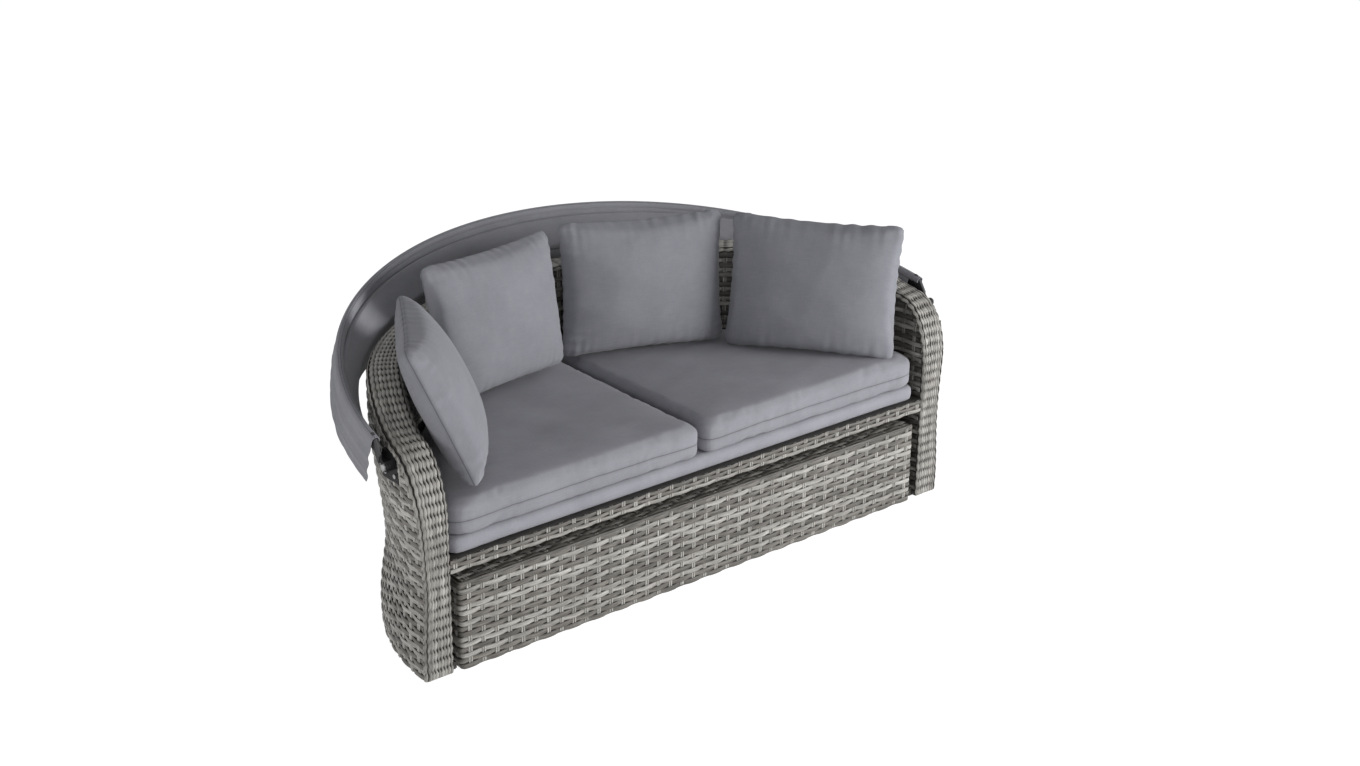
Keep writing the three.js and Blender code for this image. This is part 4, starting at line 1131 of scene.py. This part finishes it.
def cover_sheet(name, grid, thick, finish, body, from_below=False):
    """A closed sheet of the cover that rests on ribs; its cut is worked out and not used. from_below tells its map
    from its lower rim.
    """
    uv, cut, area = cloth_map(grid)
    if from_below:
        uv[..., 1] = uv[..., 1].max() - uv[..., 1]
    piece = make_cloth(name, grid, thick, finish, body, uv)
    return piece


def cover_slope(sweep):
    """The angle at which the folded cover climbs from rib to rib, 24° behind and steeper towards the hinges: the
    arc tangent of the rise of 17 over the distance between two ribs, square to their ovals."""
    normal = unit(np.stack([np.sin(sweep) / REAR_SPAN, np.cos(sweep) / REAR_REACH], -1))
    level = np.abs(SPAN_STEP * np.sin(sweep) * normal[..., 0]) + REACH_STEP * np.cos(sweep) * normal[..., 1]
    return np.arctan2(RISE_STEP, level)


def gore_edge(sweep):
    """Where the lines of two gores meet over a rib: behind its top by the cover's stand times the tangent of half
    the slope."""
    return -COVER_STAND * np.tan(cover_slope(sweep) / 2)


def round_rib(rib, sweep, first, last, stand=COVER_STAND, rows=9):
    """Rows of cloth laid round a rib from one angle to another, in degrees: 0 outside it, 90 on top."""
    turns = np.radians(np.linspace(first, last, rows)).reshape(rows, -1)
    return rib_point(rib, sweep, stand * np.cos(turns), stand * np.sin(turns))


def make_gore(number, lower_body, upper_body):
    """One gore of the cover, from the top of a rib to the top of the next in one smooth slope, so that the folded
    cover hides its ribs. The first starts with a turn round the rear rib. The last lies in the channel between the
    third rib and the front one: it leaves the one 0.35 radians under its outer side, and ends 10.8 inside the
    other's middle and 3 under it. Its rows are spaced so that smooth() of their shares up the slope is even."""
    sweep = sweeps(84, 241)
    share = np.linspace(0, 1, 17)[:, None]
    top = COVER_STAND
    out_low = out_high = gore_edge(sweep)
    up_low = up_high = top
    if number == 3:
        out_low, up_low, out_high, up_high = top * math.cos(0.35), -top * math.sin(0.35), -10.8, -3.0
    up = up_low + (RISE_STEP + up_high - up_low) * smooth_inverse(share)
    across = (up - up_low) / (RISE_STEP + up_high - up_low)
    below, above = rib_point(number - 1, sweep, out_low, up), rib_point(number, sweep, out_high, up - RISE_STEP)
    grid = below * (1 - across[..., None]) + across[..., None] * above
    sag = -0.5 * np.sin(np.pi * across) ** 2 * (1 + 0.3 * drift(np.degrees(sweep), 200 + number, 60))
    grid = grid + sag[..., None] * PLANE_UP
    if number == 1:
        grid = np.concatenate([round_rib(0, sweep, 215, 93 + np.degrees(cover_slope(sweep[0]))), grid])
    piece = cover_sheet(f"canopy_gore_{number}", grid, 1.8, cover_cloth, None)
    low, high = (in_metres(rib_point(number - 1, 0.0, 0, rise))[0] for rise in (up_low, RISE_STEP + up_high))
    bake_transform(piece)
    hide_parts(f"canopy_panel_{number}")


rib_bodies = ("sofa", "second_rib", "third_rib", "front_rib")
for gore in (1, 2, 3):
    make_gore(gore, *rib_bodies[gore - 1:gore + 1])


def make_rib_pocket():
    """The strip of cover that lies over the third rib and turns down in front of it into the channel."""
    sweep = sweeps(84, 241)
    back = rib_point(2, sweep, gore_edge(sweep), COVER_STAND)
    grid = np.concatenate([back, round_rib(2, sweep, 90, -22)])
    cover_sheet("canopy_rib_pocket", grid, 1.8, cover_cloth, "third_rib")


make_rib_pocket()


def make_rib_covers():
    """The pockets of the first three ribs: thin cloth round each, from 26° before the line where the gores touch
    the rib, which is the cover's slope past its top, down its outside and on to 26° after that line. The first
    stops 50° below the outside, and the third starts 26° below it, where the strip over that rib ends."""
    sweep = sweeps(74, 161)
    slope = np.degrees(cover_slope(sweep[0]))
    for rib, (first, last) in enumerate(((slope + 64, -50.0), (slope + 64, slope - 244), (-26.0, slope - 244))):
        cover_sheet(f"canopy_rib_cover_{rib + 1}", round_rib(rib, sweep, first, last, stand=8.9, rows=17), 1.2,
                    cover_cloth, rib_bodies[rib])


make_rib_covers()


def make_front_band():
    """The cover's front edge: from inside the front rib over its top, then down outside it, with two soft
    lengthwise folds at the sides and a hem that wanders a little."""
    turns = np.radians(np.linspace(196, 0, 19))
    radius = 10.6
    drop = np.linspace(0, 114, 31)[1:]
    flare = 3.4 * smooth(drop / 45) - 1.2 * smooth((drop - 85) / 30)
    out = np.concatenate([radius * np.cos(turns), radius + flare])[:, None]
    up = np.concatenate([radius * np.sin(turns), -drop])[:, None]
    sweep = sweeps(86.4, 281)
    degrees = np.degrees(sweep)
    low = smooth(-up / 40)
    sides = smooth((np.abs(degrees) - 30) / 40)
    folds = 1.9 * np.sin(-up * 2 * np.pi / 38 + 0.6) * low * (0.25 + 0.75 * sides)
    wander = 1.3 * drift(degrees, 230, 16) * low + 0.7 * drift(degrees, 231, 5) * low
    hem = np.where(up < -90, 1.2 * drift(degrees, 232, 9), 0)
    grid = rib_point(3, sweep, out + folds + wander, up + hem)
    piece = cover_sheet("canopy_band_cloth", grid, 2.2, band_cloth, "front_rib", from_below=True)
    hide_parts("canopy_front_band")


make_front_band()


def make_slack_fold():
    """The slack of the cover behind the back: a sheet hung from the rear rib in three lobes that are deepest at
    the middle, |sin| of three half turns across."""
    limit = 68
    sweep = sweeps(limit, 161)
    degrees = np.degrees(sweep)
    middle = (np.cos(sweep) - math.cos(math.radians(limit))) / (1 - math.cos(math.radians(limit)))
    width, deep = 20 + 46 * middle, 20 + 118 * middle
    share = np.linspace(0, 1, 91)[:, None]
    lobe = np.abs(np.sin(3 * np.pi * share)) ** 0.75
    uneven = 1 - 0.1 * (1 + drift(degrees + 40 * np.floor(share * 2.999), 240, 14))
    lean = 4 * np.sin(6 * np.pi * share) * middle
    out = -6 + width * share + lean + 1.2 * drift(degrees, 241, 10) * lobe
    up = -9.3 - deep * lobe * uneven
    grid = rib_point(0, sweep, out, up)
    piece = cover_sheet("canopy_slack_cloth", grid, 1.6, cover_cloth, "sofa")
    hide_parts("canopy_slack_fold")
    anchor = in_metres(rib_point(0, 0.0, 0, -9.0))[0]
    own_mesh(piece)


make_slack_fold()


def make_rib_sleeves():
    """A black moulded sleeve over each end of the front rib: a rounded rectangle carried along the rib."""
    corner = np.linspace(0, 2 * np.pi, 21)[:-1]
    square = np.stack([np.sign(np.cos(corner)) * np.abs(np.cos(corner)) ** 0.5,
                       np.sign(np.sin(corner)) * np.abs(np.sin(corner)) ** 0.5], -1)
    back = np.concatenate([[26.0, 26.0], np.linspace(28, 74, 14), [76.0, 76.0]])
    size = np.concatenate([[0.02, 0.8], np.ones(14), [0.8, 0.02]])[:, None]
    lift = 41 * (smooth((back - 12) / 58) - 1)[:, None]
    turn = np.arccos(back / (REAR_REACH + 3 * REACH_STEP))[:, None]
    for name, side in (("left", -1), ("right", 1)):
        rings = rib_point(3, side * turn, square[:, 0] * 5.4 * size, lift + square[:, 1] * 13.5 * size)
        face_outwards(make_piece(f"{name}_rib_sleeve", rings, grid_faces(len(back), 20, columns_close=True),
                                 glide_plastic, "front_rib"))


make_rib_sleeves()


# ---- floor, light and camera

def seen_directly(start):
    """1 for rays from the camera, off a glossy surface or through a clear one, else 0."""
    camera, glossy, clear = (start.add("ShaderNodeLightPath", output=name) for name in (
        "Is Camera Ray", "Is Glossy Ray", "Is Transmission Ray"))
    return start.sum("MAXIMUM", camera, start.sum("MAXIMUM", glossy, clear))


def make_floor():
    """A wide pale floor that reads as white and keeps the object's shadow."""
    material, shader, start = new_finish("pale studio floor")
    grain = start.place().noise(3.0, 2.0, 0.5)
    connect(shader, Base_Color=grain.ramp((0.0, (0.80, 0.80, 0.80)), (1.0, (0.84, 0.84, 0.84))), Roughness=0.9)
    seen = seen_directly(start)
    glow = start.add("ShaderNodeEmission", {}, {"Color": (1, 1, 1, 1), "Strength": 1.3})
    both = start.add("ShaderNodeMixShader", {}, {0: seen * 0.74, 1: Signal(start.tree, shader.outputs[0]), 2: glow})
    output = next(n for n in material.node_tree.nodes if n.type == "OUTPUT_MATERIAL")
    material.node_tree.links.new(both.socket, output.inputs[0])
    corners = [(x, y, -0.0005) for x, y in ((-30, -30), (30, -30), (30, 30), (-30, 30))]
    floor = new_object("floor", new_mesh("floor", corners, [(0, 1, 2, 3)], material))


def make_world():
    """White to the camera, and a weak cool light for everything else."""
    world = bpy.data.worlds.new("studio")
    bpy.context.scene.world = world
    world.use_nodes = True
    tree = world.node_tree
    tree.nodes.clear()
    start = Signal(tree)
    seen = seen_directly(start)
    soft = start.add("ShaderNodeBackground", {}, {"Color": (0.95, 0.97, 1.0, 1), "Strength": 0.17})
    white = start.add("ShaderNodeBackground", {}, {"Color": (1, 1, 1, 1), "Strength": 1.0})
    both = start.add("ShaderNodeMixShader", {}, {0: seen, 1: soft, 2: white})
    tree.links.new(both.socket, tree.nodes.new("ShaderNodeOutputWorld").inputs[0])


def make_lamp(name, place, aim, size, power):
    """A round lamp of a size in metres and a power in watts, turned to the point it is aimed at."""
    lamp = bpy.data.lights.new(name, "AREA")
    lamp.shape, lamp.size, lamp.energy = "DISK", size, power
    holder = new_object(name, lamp)
    holder.location = place
    holder.rotation_euler = (Vector(aim) - Vector(place)).to_track_quat("-Z", "Y").to_euler()


def make_camera():
    """Yaw 39.96°, pitch 22.33° down and roll 0.64°, with the lens for 2052.1 pixels of focal length in 1360."""
    yaw, pitch, roll = map(math.radians, (39.96, 22.33, 0.64))
    ahead = Vector((math.sin(yaw) * math.cos(pitch), math.cos(yaw) * math.cos(pitch), -math.sin(pitch)))
    right = Vector((math.cos(yaw), -math.sin(yaw), 0))
    up = right.cross(ahead)
    across = right * math.cos(roll) + up * math.sin(roll)
    upright = up * math.cos(roll) - right * math.sin(roll)
    camera = new_object("camera", bpy.data.cameras.new("camera"))
    camera.data.sensor_width = 36
    camera.data.lens = 2052.1 * 36 / 1360
    turned = Matrix((across, upright, -ahead)).transposed().to_4x4()
    camera.matrix_world = Matrix.Translation((-3.235, -4.2232, 2.607)) @ turned
    bpy.context.scene.camera = camera


make_floor()
make_world()
make_lamp("key light", (3.9, -4.8, 1.5), (0, -0.2, 0.4), 3.4, 375)
make_lamp("fill light", (-3.4, -5.2, 1.6), (0, -0.2, 0.4), 2.4, 68)
make_lamp("side light", (-5.7, -0.8, 1.1), (0, 0, 0.4), 2.6, 90)
make_lamp("top light", (0.0, 0.4, 4.6), (0, 0, 0.4), 3.0, 12)
make_camera()
bpy.context.scene.view_settings.view_transform = "Standard"
